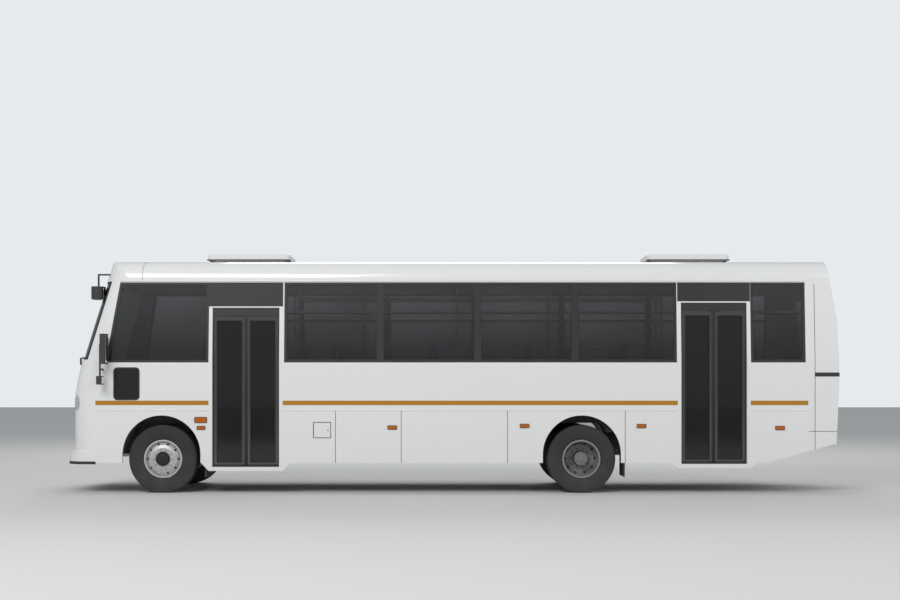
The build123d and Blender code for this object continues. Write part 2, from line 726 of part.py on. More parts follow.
for place, (door_x, width, sill_z, head_z) in DOORS.items():
    low = sill_z + SILL_HEIGHT + DOOR_RUN_CLEARANCE
    high = head_z - HEADER_LIP - HEADER_HEIGHT - DOOR_RUN_CLEARANCE
    leaf = (width - 2 * SURROUND - 3 * LEAF_GAP) / 2
    first_x = door_x + SURROUND + LEAF_GAP
    second_x = first_x + leaf + LEAF_GAP
    fold_x = second_x - LEAF_GAP / 2
    hinge_x = first_x + LEAF_THICKNESS / 2
    free_x = second_x + leaf - LEAF_THICKNESS / 2
    with BuildPart() as leaf_a:
        add(door_leaf(first_x, first_x + leaf, low, high, hinge_x, f"{place}_door_leaf_a"))
        add(pivot_pins(hinge_x, low, high))
        add(fold_barrels(fold_x, -1, low, high))
    keep(leaf_a.part, f"{place}_door_leaf_a")
    with BuildPart() as leaf_b:
        add(door_leaf(second_x, second_x + leaf, low, high, free_x, f"{place}_door_leaf_b"))
        add(fold_barrels(fold_x, 1, low, high))
    keep(leaf_b.part, f"{place}_door_leaf_b")

# Wheel houses under the floor's edge, the driver's platform on the right front one
AXLE_CORNERS = [(FRONT_AXLE_X, -1), (FRONT_AXLE_X, 1), (REAR_AXLE_X, -1), (REAR_AXLE_X, 1)]
HOUSE_SPREAD = ARCH_HALF + HOUSE_CLEARANCE + HOUSE_SHEET


def house_outside(axle_x, sign):
    """The full space of one wheel house, its sheet included."""
    return arch_prism(axle_x, HOUSE_CLEARANCE + HOUSE_SHEET, *sorted((sign * HOUSE_INNER_Y, sign * INNER_Y)))


driver_platform = block(*DRIVER_PLATFORM, HOUSE_INNER_Y, INNER_Y, FLOOR_UNDER_Z, PLATFORM_Z)
with BuildPart() as houses:
    for axle_x, sign in AXLE_CORNERS:
        add(house_outside(axle_x, sign))
    add(driver_platform)
    for axle_x, sign in AXLE_CORNERS:
        inner = sign * (HOUSE_INNER_Y + HOUSE_SHEET)
        add(arch_prism(axle_x, HOUSE_CLEARANCE, *sorted((inner, sign * REACH))), mode=Mode.SUBTRACT)
        x0, x1 = axle_x - HOUSE_SPREAD, axle_x + HOUSE_SPREAD
        add(block(x0, x1, *sorted((0, sign * REACH)), -REACH, ARCH_CENTRE_Z), mode=Mode.SUBTRACT)
        add(block(x0, x1, *sorted((sign * HOUSE_INNER_Y, inner)), 0, FLOOR_UNDER_Z), mode=Mode.SUBTRACT)
keep(houses.part, "wheel_houses")

# Step wells inside both doorways: two treads with their risers and side sheets
FIRST_RISER_Y = -HALF_WIDTH + SURROUND_DEPTH + FIRST_TREAD
SECOND_RISER_Y = FIRST_RISER_Y + SECOND_TREAD
with BuildPart() as wells:
    for door_x, width, sill_z, head_z in DOORS.values():
        x0, x1 = door_x + SURROUND, door_x + width - SURROUND
        tread_z = sill_z + SILL_HEIGHT
        add(block(x0 - STEP_SHEET, x1 + STEP_SHEET, -surround_y, SECOND_RISER_Y + STEP_SHEET,
                  tread_z - STEP_SHEET, FLOOR_Z))
        add(block(x0, x1, -REACH, FIRST_RISER_Y, tread_z, REACH), mode=Mode.SUBTRACT)
        add(block(x0, x1, FIRST_RISER_Y, SECOND_RISER_Y, STEP_Z, REACH), mode=Mode.SUBTRACT)
        add(block(x0, x1, FIRST_RISER_Y + STEP_SHEET, REACH, 0, STEP_Z - STEP_SHEET), mode=Mode.SUBTRACT)
keep(wells.part, "step_wells")

# Floor deck, notched round the wheel houses, the step wells and the engine
ENGINE_GAP = 20
with BuildPart() as floor:
    add(common(inner_form, block(-REACH, REACH, -REACH, REACH, FLOOR_UNDER_Z, FLOOR_Z)))
    for axle_x, sign in AXLE_CORNERS:
        add(house_outside(axle_x, sign), mode=Mode.SUBTRACT)
    add(driver_platform, mode=Mode.SUBTRACT)
    for door_x, width, sill_z, head_z in DOORS.values():
        x0, x1 = door_x + SURROUND - STEP_SHEET, door_x + width - SURROUND + STEP_SHEET
        add(block(x0, x1, -REACH, SECOND_RISER_Y + STEP_SHEET, 0, REACH), mode=Mode.SUBTRACT)
        add(block(door_x, door_x + width, -REACH, -surround_y, 0, REACH), mode=Mode.SUBTRACT)
    add(block(ENGINE_X[0] - ENGINE_GAP, ENGINE_X[1] + ENGINE_GAP, -ENGINE_HALF - ENGINE_GAP,
              ENGINE_HALF + ENGINE_GAP, 0, REACH), mode=Mode.SUBTRACT)
keep(floor.part, "floor")

# Chassis: two channel rails that run the whole length
with BuildPart() as chassis:
    for sign in (-1, 1):
        web = sign * (RAIL_Y + RAIL_WIDTH / 2)
        edge = web - sign * RAIL_WIDTH
        with BuildSketch(Plane.YZ.offset(FRONT_RAIL_X)):
            with BuildLine():
                Polyline((edge, RAIL_UNDER_Z), (web, RAIL_UNDER_Z), (web, RAIL_TOP_Z), (edge, RAIL_TOP_Z),
                         (edge, RAIL_TOP_Z - RAIL_SHEET), (web - sign * RAIL_SHEET, RAIL_TOP_Z - RAIL_SHEET),
                         (web - sign * RAIL_SHEET, RAIL_UNDER_Z + RAIL_SHEET),
                         (edge, RAIL_UNDER_Z + RAIL_SHEET), close=True)
            make_face()
        extrude(amount=REAR_RAIL_X - FRONT_RAIL_X)
keep(chassis.part, "chassis_frame")

# Cross members between the rails, floor bearers over them, towing sockets and rear jacking pads
JACK_X = 3300
JACK_PAD = 20
CROSS_X = (FRONT_RAIL_X + BEARER / 2, -3700, -2500, -1000, 500, 1300, 2700, 3900, REAR_RAIL_X - BEARER / 2)
CROSS_HEIGHT = 90
BEARER_X = (-5420, -2500, -1000, 500, 2900, 4850, 5350)
with BuildPart() as crosses:
    inside = RAIL_Y + RAIL_WIDTH / 2 - RAIL_SHEET
    head = RAIL_TOP_Z - RAIL_SHEET
    for x in CROSS_X:
        add(block(x - BEARER / 2, x + BEARER / 2, -inside, inside, head - CROSS_HEIGHT, head))
    for x in BEARER_X:
        add(block(x - BEARER / 2, x + BEARER / 2, -INNER_Y, INNER_Y, RAIL_TOP_Z, FLOOR_UNDER_Z))
    for y in (-TOW_Y, TOW_Y):
        half = TOW_BORE + TOW_WALL
        add(block(FRONT_RAIL_X, FRONT_RAIL_X + TOW_SOCKET, y - half, y + half, TOW_Z - half, RAIL_UNDER_Z))
    with BuildSketch(Plane.YZ.offset(FRONT_RAIL_X)):
        with Locations((TOW_Y, TOW_Z), (-TOW_Y, TOW_Z)):
            Circle(TOW_BORE)
    extrude(amount=TOW_SOCKET, mode=Mode.SUBTRACT)
    for y in (-RAIL_Y, RAIL_Y):
        add(block(JACK_X - BEARER / 2, JACK_X + BEARER / 2, y - RAIL_WIDTH / 2, y + RAIL_WIDTH / 2,
                  RAIL_UNDER_Z - JACK_PAD, RAIL_UNDER_Z))
keep(crosses.part, "cross_members")

# Wheels
def tyre(axle_x, y):
    """A road tyre as one turned ring, tread square to the road and sidewalls bulged."""
    half = TYRE_WIDTH / 2
    bead = RIM_RADIUS + SEAT_CLEARANCE
    heel = RIM_WIDTH / 2 - FLANGE_WIDTH - SEAT_CLEARANCE
    lip = RIM_RADIUS + RIM_FLANGE + SEAT_CLEARANCE
    wall = TYRE_RADIUS - 3 * SHOULDER
    with BuildPart() as ring:
        with BuildSketch(Plane.XZ):
            with BuildLine():
                Polyline((bead, -heel), (bead, heel), (lip, heel), (wall, half),
                         (TYRE_RADIUS, half - SHOULDER),
                         (TYRE_RADIUS, SHOULDER - half), (wall, -half), (lip, -heel), close=True)
            make_face()
        revolve(axis=Axis.Z)
    return Pos(axle_x, y, AXLE_Z) * Rot(90, 0, 0) * ring.part


HUB_RADIUS = 110
HAND_HOLES = 10
HAND_HOLE_CIRCLE = 233
HAND_HOLE_RADIUS = 17
SPINDLE_RADIUS = 40
SPINDLE_CLEARANCE = 0.5
DRUM_RADIUS = 205


RIM_WELL = 26
WELL_SLOPE = 40
DISC_DEPTH = 62
DISC_FLAT = 170
DISC_KNEE = 215
KNEE_DEPTH = 12


def wheel(rims, discs, hub_end, drum, bore):
    """Rims, dished discs with hand holes, hub and brake drum, turned about Z outward."""
    with BuildPart() as part:
        for rim_z in rims:
            half = RIM_WIDTH / 2
            inner, outer = RIM_RADIUS - FLANGE_WIDTH, RIM_RADIUS + RIM_FLANGE
            well = RIM_RADIUS - RIM_WELL
            with BuildSketch(Plane.XZ):
                with BuildLine():
                    Polyline((RIM_RADIUS, rim_z - half + FLANGE_WIDTH), (outer, rim_z - half + FLANGE_WIDTH),
                             (outer, rim_z - half), (inner, rim_z - half), (well, rim_z - half + WELL_SLOPE),
                             (well, rim_z + half - WELL_SLOPE), (inner, rim_z + half), (outer, rim_z + half),
                             (outer, rim_z + half - FLANGE_WIDTH), (RIM_RADIUS, rim_z + half - FLANGE_WIDTH),
                             close=True)
                make_face()
            revolve(axis=Axis.Z)
        for z, dish in discs:
            edge = RIM_RADIUS - RIM_WELL + 4
            low = z - DISC
            with BuildSketch(Plane.XZ):
                with BuildLine():
                    Polyline((0, z), (DISC_FLAT, z), (DISC_KNEE, z + dish * KNEE_DEPTH),
                             (edge, z + dish * DISC_DEPTH), (edge, low + dish * DISC_DEPTH),
                             (DISC_KNEE, low + dish * KNEE_DEPTH), (DISC_FLAT, low), (0, low), close=True)
                make_face()
            revolve(axis=Axis.Z)
            with BuildSketch(Plane.XY.offset(z - 100)):
                with PolarLocations(HAND_HOLE_CIRCLE, HAND_HOLES):
                    Circle(HAND_HOLE_RADIUS)
            extrude(amount=200, mode=Mode.SUBTRACT)
        with BuildSketch(Plane.XZ):
            with BuildLine():
                Polyline((0, drum[0]), (DRUM_RADIUS, drum[0]), (DRUM_RADIUS, drum[1]), (HUB_RADIUS, drum[1]),
                         (HUB_RADIUS, hub_end - 30), (HUB_RADIUS - 25, hub_end), (0, hub_end), close=True)
            make_face()
        revolve(axis=Axis.Z)
        with BuildSketch(Plane.XY.offset(drum[0])):
            Circle(bore)
        extrude(amount=hub_end - 40 - drum[0], mode=Mode.SUBTRACT)
    return part.part


front_wheel = wheel([0], [(DISC_OFFSET, -1)], 175, (-72, 60), SPINDLE_RADIUS + SPINDLE_CLEARANCE)
twin_half = (TWIN_OUTER_Y - TWIN_INNER_Y) / 2
REAR_SPINDLE = 60
rear_wheel = wheel([-twin_half, twin_half], [(DISC, 1), (0, -1)], 190, (-160, -DISC),
                   REAR_SPINDLE + SPINDLE_CLEARANCE)
TWIN_MID_Y = (TWIN_OUTER_Y + TWIN_INNER_Y) / 2

for sign, side in ((-1, "left"), (1, "right")):
    turn = Rot(-90 * sign, 0, 0)
    keep(tyre(FRONT_AXLE_X, sign * FRONT_WHEEL_Y), f"front_tyre_{side}")
    keep(Pos(FRONT_AXLE_X, sign * FRONT_WHEEL_Y, AXLE_Z) * turn * front_wheel, f"front_wheel_{side}")
    with BuildPart() as twins:
        add(tyre(REAR_AXLE_X, sign * TWIN_OUTER_Y))
        add(tyre(REAR_AXLE_X, sign * TWIN_INNER_Y))
    keep(twins.part, f"rear_tyres_{side}")
    keep(Pos(REAR_AXLE_X, sign * TWIN_MID_Y, AXLE_Z) * turn * rear_wheel, f"rear_wheels_{side}")

# Front axle beam with its leaf springs, and the knuckles it carries
BEAM_HALF = 45
BEAM_DROP = 170
BEAM_FACE = 60
EYE_HEIGHT = 60
EYE_LENGTH = 60
BEAM_BEND_LOW = 640
BEAM_BEND_HIGH = 600
SPRING_Y = RAIL_Y
SPRING_HALF = 700
LEAF = 14
with BuildPart() as front_axle:
    half_beam = [(KINGPIN_Y, AXLE_Z + EYE_HEIGHT), (KINGPIN_Y - EYE_LENGTH, AXLE_Z + EYE_HEIGHT),
                 (BEAM_BEND_HIGH, AXLE_Z - BEAM_FACE), (0, AXLE_Z - BEAM_FACE), (0, AXLE_Z - BEAM_DROP),
                 (BEAM_BEND_LOW, AXLE_Z - BEAM_DROP), (KINGPIN_Y - EYE_LENGTH, AXLE_Z - EYE_HEIGHT),
                 (KINGPIN_Y, AXLE_Z - EYE_HEIGHT)]
    for sign in (-1, 1):
        with BuildSketch(Plane.YZ.offset(FRONT_AXLE_X - BEAM_HALF)):
            with BuildLine():
                Polyline(*[(sign * y, z) for y, z in half_beam], close=True)
            make_face()
        extrude(amount=2 * BEAM_HALF)
        with BuildSketch(Plane.XY.offset(AXLE_Z - EYE_HEIGHT)):
            with Locations((FRONT_AXLE_X, sign * KINGPIN_Y)):
                Circle(BEAM_HALF)
        extrude(amount=2 * EYE_HEIGHT)
    for sign in (-1, 1):
        with BuildSketch(Plane.XZ.offset(-sign * SPRING_Y - 35)):
            with BuildLine():
                ThreePointArc((FRONT_AXLE_X - SPRING_HALF, RAIL_UNDER_Z - 30),
                              (FRONT_AXLE_X, AXLE_Z - 60 + LEAF),
                              (FRONT_AXLE_X + SPRING_HALF, RAIL_UNDER_Z - 30))
                offset(amount=LEAF, side=Side.BOTH)
            make_face()
        extrude(amount=70)
        add(block(FRONT_AXLE_X - 60, FRONT_AXLE_X + 60, sign * SPRING_Y - 35, sign * SPRING_Y + 35,
                  AXLE_Z - 70, AXLE_Z - 50))
        for end in (-1, 1):
            add(block(FRONT_AXLE_X + end * SPRING_HALF - 30, FRONT_AXLE_X + end * SPRING_HALF + 30,
                      sign * SPRING_Y - 35, sign * SPRING_Y + 35, RAIL_UNDER_Z - 50, RAIL_UNDER_Z))
        with BuildSketch(Plane.XY.offset(0)):
            with Locations((FRONT_AXLE_X, sign * KINGPIN_Y)):
                Circle(KINGPIN_RADIUS + SPINDLE_CLEARANCE)
        extrude(amount=REACH, mode=Mode.SUBTRACT)
keep(front_axle.part, "front_axle")

YOKE_RADIUS = 42
YOKE_GAP = 2
YOKE_HEIGHT = 50
YOKE_BACK = 52
YOKE_PLATE = 28
YOKE_HALF = 60
SPINDLE_END = 285
for sign, side in ((-1, "left"), (1, "right")):
    with BuildPart() as knuckle:
        with BuildSketch(Plane.XY.offset(AXLE_Z - EYE_HEIGHT - YOKE_HEIGHT)):
            with Locations((FRONT_AXLE_X, sign * KINGPIN_Y)):
                Circle(YOKE_RADIUS)
        extrude(amount=YOKE_HEIGHT - YOKE_GAP)
        with BuildSketch(Plane.XY.offset(AXLE_Z + EYE_HEIGHT + YOKE_GAP)):
            with Locations((FRONT_AXLE_X, sign * KINGPIN_Y)):
                Circle(YOKE_RADIUS)
        extrude(amount=YOKE_HEIGHT - YOKE_GAP)
        with BuildSketch(Plane.XY.offset(AXLE_Z - EYE_HEIGHT - YOKE_HEIGHT)):
            with Locations((FRONT_AXLE_X, sign * KINGPIN_Y)):
                Circle(KINGPIN_RADIUS)
        extrude(amount=2 * EYE_HEIGHT + 2 * YOKE_HEIGHT)
        z_low, z_high = AXLE_Z - EYE_HEIGHT - YOKE_HEIGHT, AXLE_Z + EYE_HEIGHT + YOKE_HEIGHT
        y0, y1 = sorted((sign * (KINGPIN_Y + YOKE_BACK), sign * (KINGPIN_Y + YOKE_BACK + YOKE_PLATE)))
        add(block(FRONT_AXLE_X - YOKE_HALF, FRONT_AXLE_X + YOKE_HALF, y0, y1, z_low, z_high))
        arm = YOKE_HEIGHT - YOKE_GAP
        for low, high in ((z_low, z_low + arm), (z_high - arm, z_high)):
            y0, y1 = sorted((sign * KINGPIN_Y, sign * (KINGPIN_Y + YOKE_BACK + YOKE_GAP)))
            add(block(FRONT_AXLE_X - YOKE_RADIUS, FRONT_AXLE_X + YOKE_RADIUS, y0, y1, low, high))
        with BuildSketch(Plane.XZ.offset(-sign * (KINGPIN_Y + YOKE_BACK + YOKE_PLATE / 2))):
            with Locations((FRONT_AXLE_X, AXLE_Z)):
                Circle(SPINDLE_RADIUS)
        extrude(amount=-sign * (SPINDLE_END - YOKE_BACK - YOKE_PLATE / 2))
    keep(knuckle.part, f"knuckle_{side}")

CASING_RADIUS = 215
AXLE_TUBE_RADIUS = 75
AXLE_TUBE_HALF = TWIN_MID_Y - 180
REAR_SPINDLE_HALF = TWIN_MID_Y + 140
PINION_RADIUS = 70
PINION_X = REAR_AXLE_X - 300

# Rear axle: round housing with the drive casing, springs under the rails
with BuildPart() as rear_axle:
    for half, radius in ((AXLE_TUBE_HALF, AXLE_TUBE_RADIUS), (REAR_SPINDLE_HALF, REAR_SPINDLE)):
        with BuildSketch(Plane.XZ.offset(-half)):
            with Locations((REAR_AXLE_X, AXLE_Z)):
                Circle(radius)
        extrude(amount=2 * half)
    with Locations((REAR_AXLE_X, 0, AXLE_Z)):
        Sphere(CASING_RADIUS)
    with BuildSketch(Plane.YZ.offset(PINION_X)):
        with Locations((0, AXLE_Z)):
            Circle(PINION_RADIUS)
    extrude(amount=REAR_AXLE_X - PINION_X)
    for sign in (-1, 1):
        with BuildSketch(Plane.XZ.offset(-sign * SPRING_Y - 40)):
            with BuildLine():
                ThreePointArc((REAR_AXLE_X - SPRING_HALF, RAIL_UNDER_Z - 40),
                              (REAR_AXLE_X, AXLE_Z + 70 - 2 * LEAF),
                              (REAR_AXLE_X + SPRING_HALF, RAIL_UNDER_Z - 40))
                offset(amount=2 * LEAF, side=Side.BOTH)
            make_face()
        extrude(amount=80)
        for end in (-1, 1):
            add(block(REAR_AXLE_X + end * SPRING_HALF - 30, REAR_AXLE_X + end * SPRING_HALF + 30,
                      sign * SPRING_Y - 40, sign * SPRING_Y + 40, RAIL_UNDER_Z - 60, RAIL_UNDER_Z))
keep(rear_axle.part, "rear_axle")

# Engine and gearbox as one plain heavy block, with the casing of the clutch between
with BuildPart() as engine:
    add(block(ENGINE_X[0], ENGINE_X[1], -ENGINE_HALF, ENGINE_HALF, *ENGINE_Z))
    chamfer(engine.edges().filter_by(Axis.X), 60)
    with BuildSketch(Plane.YZ.offset(ENGINE_X[1])):
        with Locations((0, 740)):
            Circle(170)
    with BuildSketch(Plane.YZ.offset(GEARBOX_X)):
        with Locations((0, 700)):
            Circle(90)
    loft()
    for sign in (-1, 1):
        y0, y1 = sorted((sign * ENGINE_HALF, sign * (RAIL_Y + RAIL_WIDTH / 2 - RAIL_SHEET)))
        add(block(-4900, -4780, y0, y1, 760, 820))
keep(engine.part, "engine_gearbox")

# Propeller shaft from the gearbox down to the axle pinion
SHAFT_RADIUS = 50
SHAFT_START_Z = 700
with BuildPart() as shaft:
    with BuildSketch(Plane.YZ.offset(GEARBOX_X)):
        with Locations((0, SHAFT_START_Z)):
            Circle(SHAFT_RADIUS)
    with BuildSketch(Plane.YZ.offset(PINION_X)):
        with Locations((0, AXLE_Z)):
            Circle(SHAFT_RADIUS)
    loft()
keep(shaft.part, "propeller_shaft")

# Fuel tank behind the filler flap, hung from the left rail
WEB_Y = RAIL_Y + RAIL_WIDTH / 2
TANK = (-2350, -1250, -1150, -560, 500, 850)
with BuildPart() as tank:
    add(block(*TANK))
    fillet(tank.edges().filter_by(Axis.X), 60)
    for x in (TANK[0] + 200, TANK[1] - 200):
        add(block(x - 30, x + 30, TANK[3] - 60, -WEB_Y, 680, 760))

# Air receivers on the right rail share the tanks' node; the silencer and tail pipe follow
AIR_RADIUS = 130
AIR_Y = 720
with BuildPart() as tanks:
    add(tank.part)
    for x in (-500, 420):
        with BuildSketch(Plane.YZ.offset(x - 400)):
            with Locations((AIR_Y, 650)):
                Circle(AIR_RADIUS)
        extrude(amount=800)
        add(block(x - 30, x + 30, WEB_Y, AIR_Y, 650, 690))
keep(tanks.part, "tanks")

PIPE_RADIUS = 38
PIPE_Y = 545
PIPE_Z = 770
with BuildPart() as exhaust:
    with BuildSketch(Plane.YZ.offset(-2400)):
        with Locations((PIPE_Y + 80, PIPE_Z)):
            Circle(115)
    extrude(amount=1100)
    with BuildSketch(Plane.YZ.offset(-1320)):
        with Locations((PIPE_Y, PIPE_Z)):
            Circle(PIPE_RADIUS)
    extrude(amount=5600 + 1320)
    for x in (-2200, -1500, 600, 3000, 5000):
        add(block(x - 15, x + 15, WEB_Y, PIPE_Y, PIPE_Z - 10, PIPE_Z + 10))
keep(exhaust.part, "exhaust")

# Rubber flaps behind the wheel houses
FLAP_FOOT_Z = 245
FLAP = 8
with BuildPart() as flaps:
    for axle_x in (FRONT_AXLE_X, REAR_AXLE_X):
        for sign in (-1, 1):
            back = axle_x + ARCH_HALF + HOUSE_CLEARANCE + HOUSE_SHEET
            y0, y1 = sorted((sign * (HOUSE_INNER_Y + 40), sign * (INNER_Y - 20)))
            add(block(back, back + FLAP, y0, y1, FLAP_FOOT_Z, ARCH_CENTRE_Z + 120))
keep(flaps.part, "mud_flaps")

# Filler flap in the left wall, rounded about the pins at its front edge
x0, x1, z0, z1 = FILLER_FLAP
flap_y = -HALF_WIDTH + FLAP_SHEET / 2
flap_pin_x = x0 + FLAP_GAP + FLAP_SHEET / 2
with BuildPart() as filler:
    with BuildSketch(Plane.XY.offset(z0 + FLAP_GAP)):
        with Locations(((flap_pin_x + x1 - FLAP_GAP) / 2, flap_y)):
            Rectangle(x1 - FLAP_GAP - flap_pin_x, FLAP_SHEET)
        with Locations((flap_pin_x, flap_y)):
            Circle(FLAP_SHEET / 2)
    extrude(amount=z1 - z0 - 2 * FLAP_GAP)
    with BuildSketch(Plane.XY.offset(z0 + SEAT_CLEARANCE)):
        with Locations((flap_pin_x, flap_y)):
            Circle(FLAP_SHEET / 4)
    extrude(amount=z1 - z0 - 2 * SEAT_CLEARANCE)
keep(filler.part, "filler_flap")

# Amber lamps along both sides
LAMP_PROUD = 14
SIDE_LAMPS = [(-3901, 1134, 185, 80), (-3896, 1011, 120, 48), (-940, 1017, 135, 52),
              (1105, 1042, 135, 52), (2912, 1040, 135, 52), (5053, 1009, 135, 52)]
with BuildPart() as lamps:
    for sign in (-1, 1):
        for x, z, width, height in SIDE_LAMPS:
            with BuildSketch(Plane.XZ.offset(-sign * HALF_WIDTH)):
                with Locations((x, z)):
                    RectangleRounded(width, height, height / 4)
            extrude(amount=-sign * LAMP_PROUD)
keep(lamps.part, "side_lamps")

# Mirrors: a tall head and an oval one below on a bent arm at each side, one more over the screen
MIRROR_Y = 1440
MIRROR_STEM_X = -5416
MIRROR_HEAD_X = -5355
MIRROR_ARM = 14
MIRROR_HEAD = (92, 210, 1996, 2456)
MIRROR_OVAL = (84, 180, 1680, 1812)
MIRROR_CORNER = 30
MIRROR_STEM_Z = (1700, 2300)
MIRROR_LINK_Z = (2180, 2230)
MIRROR_ARM_Z = 1914
SCREEN_MIRROR_X, SCREEN_MIRROR_Y = -5567, -950
SCREEN_MIRROR = (190, 260, 3020, 3217)
SCREEN_ARM = 12
SCREEN_ARM_Z = (3150, 3420)
with BuildPart() as mirrors:
    for sign in (-1, 1):
        for x, (length, width, low, high) in ((MIRROR_HEAD_X, MIRROR_HEAD), (MIRROR_STEM_X, MIRROR_OVAL)):
            with BuildSketch(Plane.XY.offset(low)):
                with Locations((x, sign * MIRROR_Y)):
                    RectangleRounded(length, width, MIRROR_CORNER)
            extrude(amount=high - low)
        with BuildSketch(Plane.XY.offset(MIRROR_STEM_Z[0])):
            with Locations((MIRROR_STEM_X, sign * MIRROR_Y)):
                Circle(MIRROR_ARM)
        extrude(amount=MIRROR_STEM_Z[1] - MIRROR_STEM_Z[0])
        add(block(MIRROR_STEM_X, MIRROR_HEAD_X, sign * MIRROR_Y - MIRROR_ARM, sign * MIRROR_Y + MIRROR_ARM,
                  *MIRROR_LINK_Z))
        y0, y1 = sorted((sign * (HALF_WIDTH - MIRROR_ARM), sign * MIRROR_Y))
        add(block(MIRROR_STEM_X - MIRROR_ARM, MIRROR_STEM_X + MIRROR_ARM, y0, y1,
                  MIRROR_ARM_Z - MIRROR_ARM, MIRROR_ARM_Z + MIRROR_ARM))
    length, width, low, high = SCREEN_MIRROR
    with BuildSketch(Plane.XY.offset(low)):
        with Locations((SCREEN_MIRROR_X, SCREEN_MIRROR_Y)):
            RectangleRounded(length, width, 2 * MIRROR_CORNER)
    extrude(amount=high - low)
    arm_y = (SCREEN_MIRROR_Y - SCREEN_ARM, SCREEN_MIRROR_Y + SCREEN_ARM)
    arm_x, top = SCREEN_MIRROR_X - SCREEN_ARM, SCREEN_ARM_Z[1]
    add(block(arm_x, arm_x + 2 * SCREEN_ARM, *arm_y, *SCREEN_ARM_Z))
    add(block(arm_x, arm_x + length + width / 2, *arm_y, top - 2 * SCREEN_ARM, top))
    add(outer_form, mode=Mode.SUBTRACT)
keep(mirrors.part, "mirrors")

# Inside: dashboard, engine cover, steering wheel and seats
with BuildPart() as dash:
    add(common(inner_form, side_prism([(-REACH, FLOOR_Z), (-5480, FLOOR_Z), (-5400, 1700), (-5250, 1850),
                                       (-5270, 1960), (-REACH, 1990)], -REACH, REACH)))
keep(dash.part, "dashboard")

COVER_SPACE = 30
COVER_SIDE_SPACE = 50
COVER_SHEET = 30
COVER_TOP_Z = 1420
COVER_ROOM_Z = 1370
with BuildPart() as cover:
    reach, side = COVER_SPACE + COVER_SHEET, ENGINE_HALF + COVER_SIDE_SPACE + COVER_SHEET
    add(block(ENGINE_X[0] - reach, ENGINE_X[1] + reach, -side, side, FLOOR_Z, COVER_TOP_Z))
    chamfer(cover.faces().sort_by(Axis.Z)[-1].edges(), 2 * COVER_SHEET)
    reach, side = COVER_SPACE, ENGINE_HALF + COVER_SIDE_SPACE
    add(block(ENGINE_X[0] - reach, ENGINE_X[1] + reach, -side, side, FLOOR_Z, COVER_ROOM_Z),
        mode=Mode.SUBTRACT)
keep(cover.part, "engine_cover")

DRIVER_Y = 760
STEERING_X, STEERING_Z = -4980, 1990
STEERING_RADIUS = 230
STEERING_RIM = 32
STEERING_THICK = 26
SPOKE_WIDTH = 40
SPOKE_THICK = 16
SPOKE_HUB = 60
COLUMN_RADIUS = 35
COLUMN_LENGTH = 1000
with BuildPart() as steering:
    wheel_plane = Plane(origin=(STEERING_X, DRIVER_Y, STEERING_Z), z_dir=(0.5, 0, 1))
    with BuildSketch(wheel_plane):
        Circle(STEERING_RADIUS)
        Circle(STEERING_RADIUS - STEERING_RIM, mode=Mode.SUBTRACT)
    extrude(amount=STEERING_THICK)
    spoke = 2 * STEERING_RADIUS - SPOKE_WIDTH
    with BuildSketch(wheel_plane):
        Rectangle(spoke, SPOKE_WIDTH)
        Rectangle(SPOKE_WIDTH, spoke)
        Circle(SPOKE_HUB)
    extrude(amount=SPOKE_THICK)
    with BuildSketch(wheel_plane):
        Circle(COLUMN_RADIUS)
    extrude(amount=-COLUMN_LENGTH)
    add(block(-REACH, REACH, -REACH, REACH, 0, PLATFORM_Z), mode=Mode.SUBTRACT)
    add(dash.part, mode=Mode.SUBTRACT)
keep(steering.part, "steering_wheel")

SEAT_PROFILE = [(0, 400), (0, 450), (30, 480), (430, 470), (560, 1200), (640, 1180), (510, 430)]


def seat(x, z, y0, y1):
    """One seat bench: cushion and back in one padded shape, seen from the side."""
    return side_prism([(x + dx, z + dz) for dx, dz in SEAT_PROFILE], y0, y1)


with BuildPart() as driver_seat:
    add(seat(-4720, PLATFORM_Z, DRIVER_Y - 240, DRIVER_Y + 240))
    add(block(-4640, -4350, DRIVER_Y - 160, DRIVER_Y + 160, PLATFORM_Z, PLATFORM_Z + 408))
keep(driver_seat.part, "driver_seat")

AISLE_Y = 330
SEAT_PITCH = 755
LEFT_SEATS = 7
RIGHT_SEATS = 11
SEAT_FRONT_X = -2400
RIGHT_SEAT_FRONT_X = -3100
SEAT_WALL_Y = 1180
with BuildPart() as bench:
    add(seat(0, FLOOR_Z, AISLE_Y, SEAT_WALL_Y))
    add(block(180, 300, AISLE_Y + 40, AISLE_Y + 80, FLOOR_Z, FLOOR_Z + 430))
    add(block(180, 300, SEAT_WALL_Y - 20, INNER_Y, FLOOR_Z + 415, FLOOR_Z + 445))
with BuildPart() as seats:
    with Locations(*[(RIGHT_SEAT_FRONT_X + row * SEAT_PITCH, 0) for row in range(RIGHT_SEATS)]):
        add(bench.part)
    with Locations(*[(SEAT_FRONT_X + row * SEAT_PITCH, 0) for row in range(LEFT_SEATS)]):
        add(mirror(bench.part, about=Plane.XZ, mode=Mode.PRIVATE))
keep(seats.part, "passenger_seats")

# Grab poles from floor to ceiling with a rail along each side of the aisle
POLE_RADIUS = 17
RAIL_Z = 3080
POLE_X = (-2560, -1450, 60, 1570, 3380)
with BuildPart() as poles:
    for sign in (-1, 1):
        for x in POLE_X:
            with BuildSketch(Plane.XY.offset(FLOOR_Z)):
                with Locations((x, sign * (AISLE_Y - 40))):
                    Circle(POLE_RADIUS)
            extrude(amount=REACH)
        with BuildSketch(Plane.YZ.offset(POLE_X[0])):
            with Locations((sign * (AISLE_Y - 40), RAIL_Z)):
                Circle(POLE_RADIUS)
        extrude(amount=POLE_X[-1] - POLE_X[0])
    add(inner_form, mode=Mode.INTERSECT)
    add(guards.part)
keep(poles.part, "grab_rails")

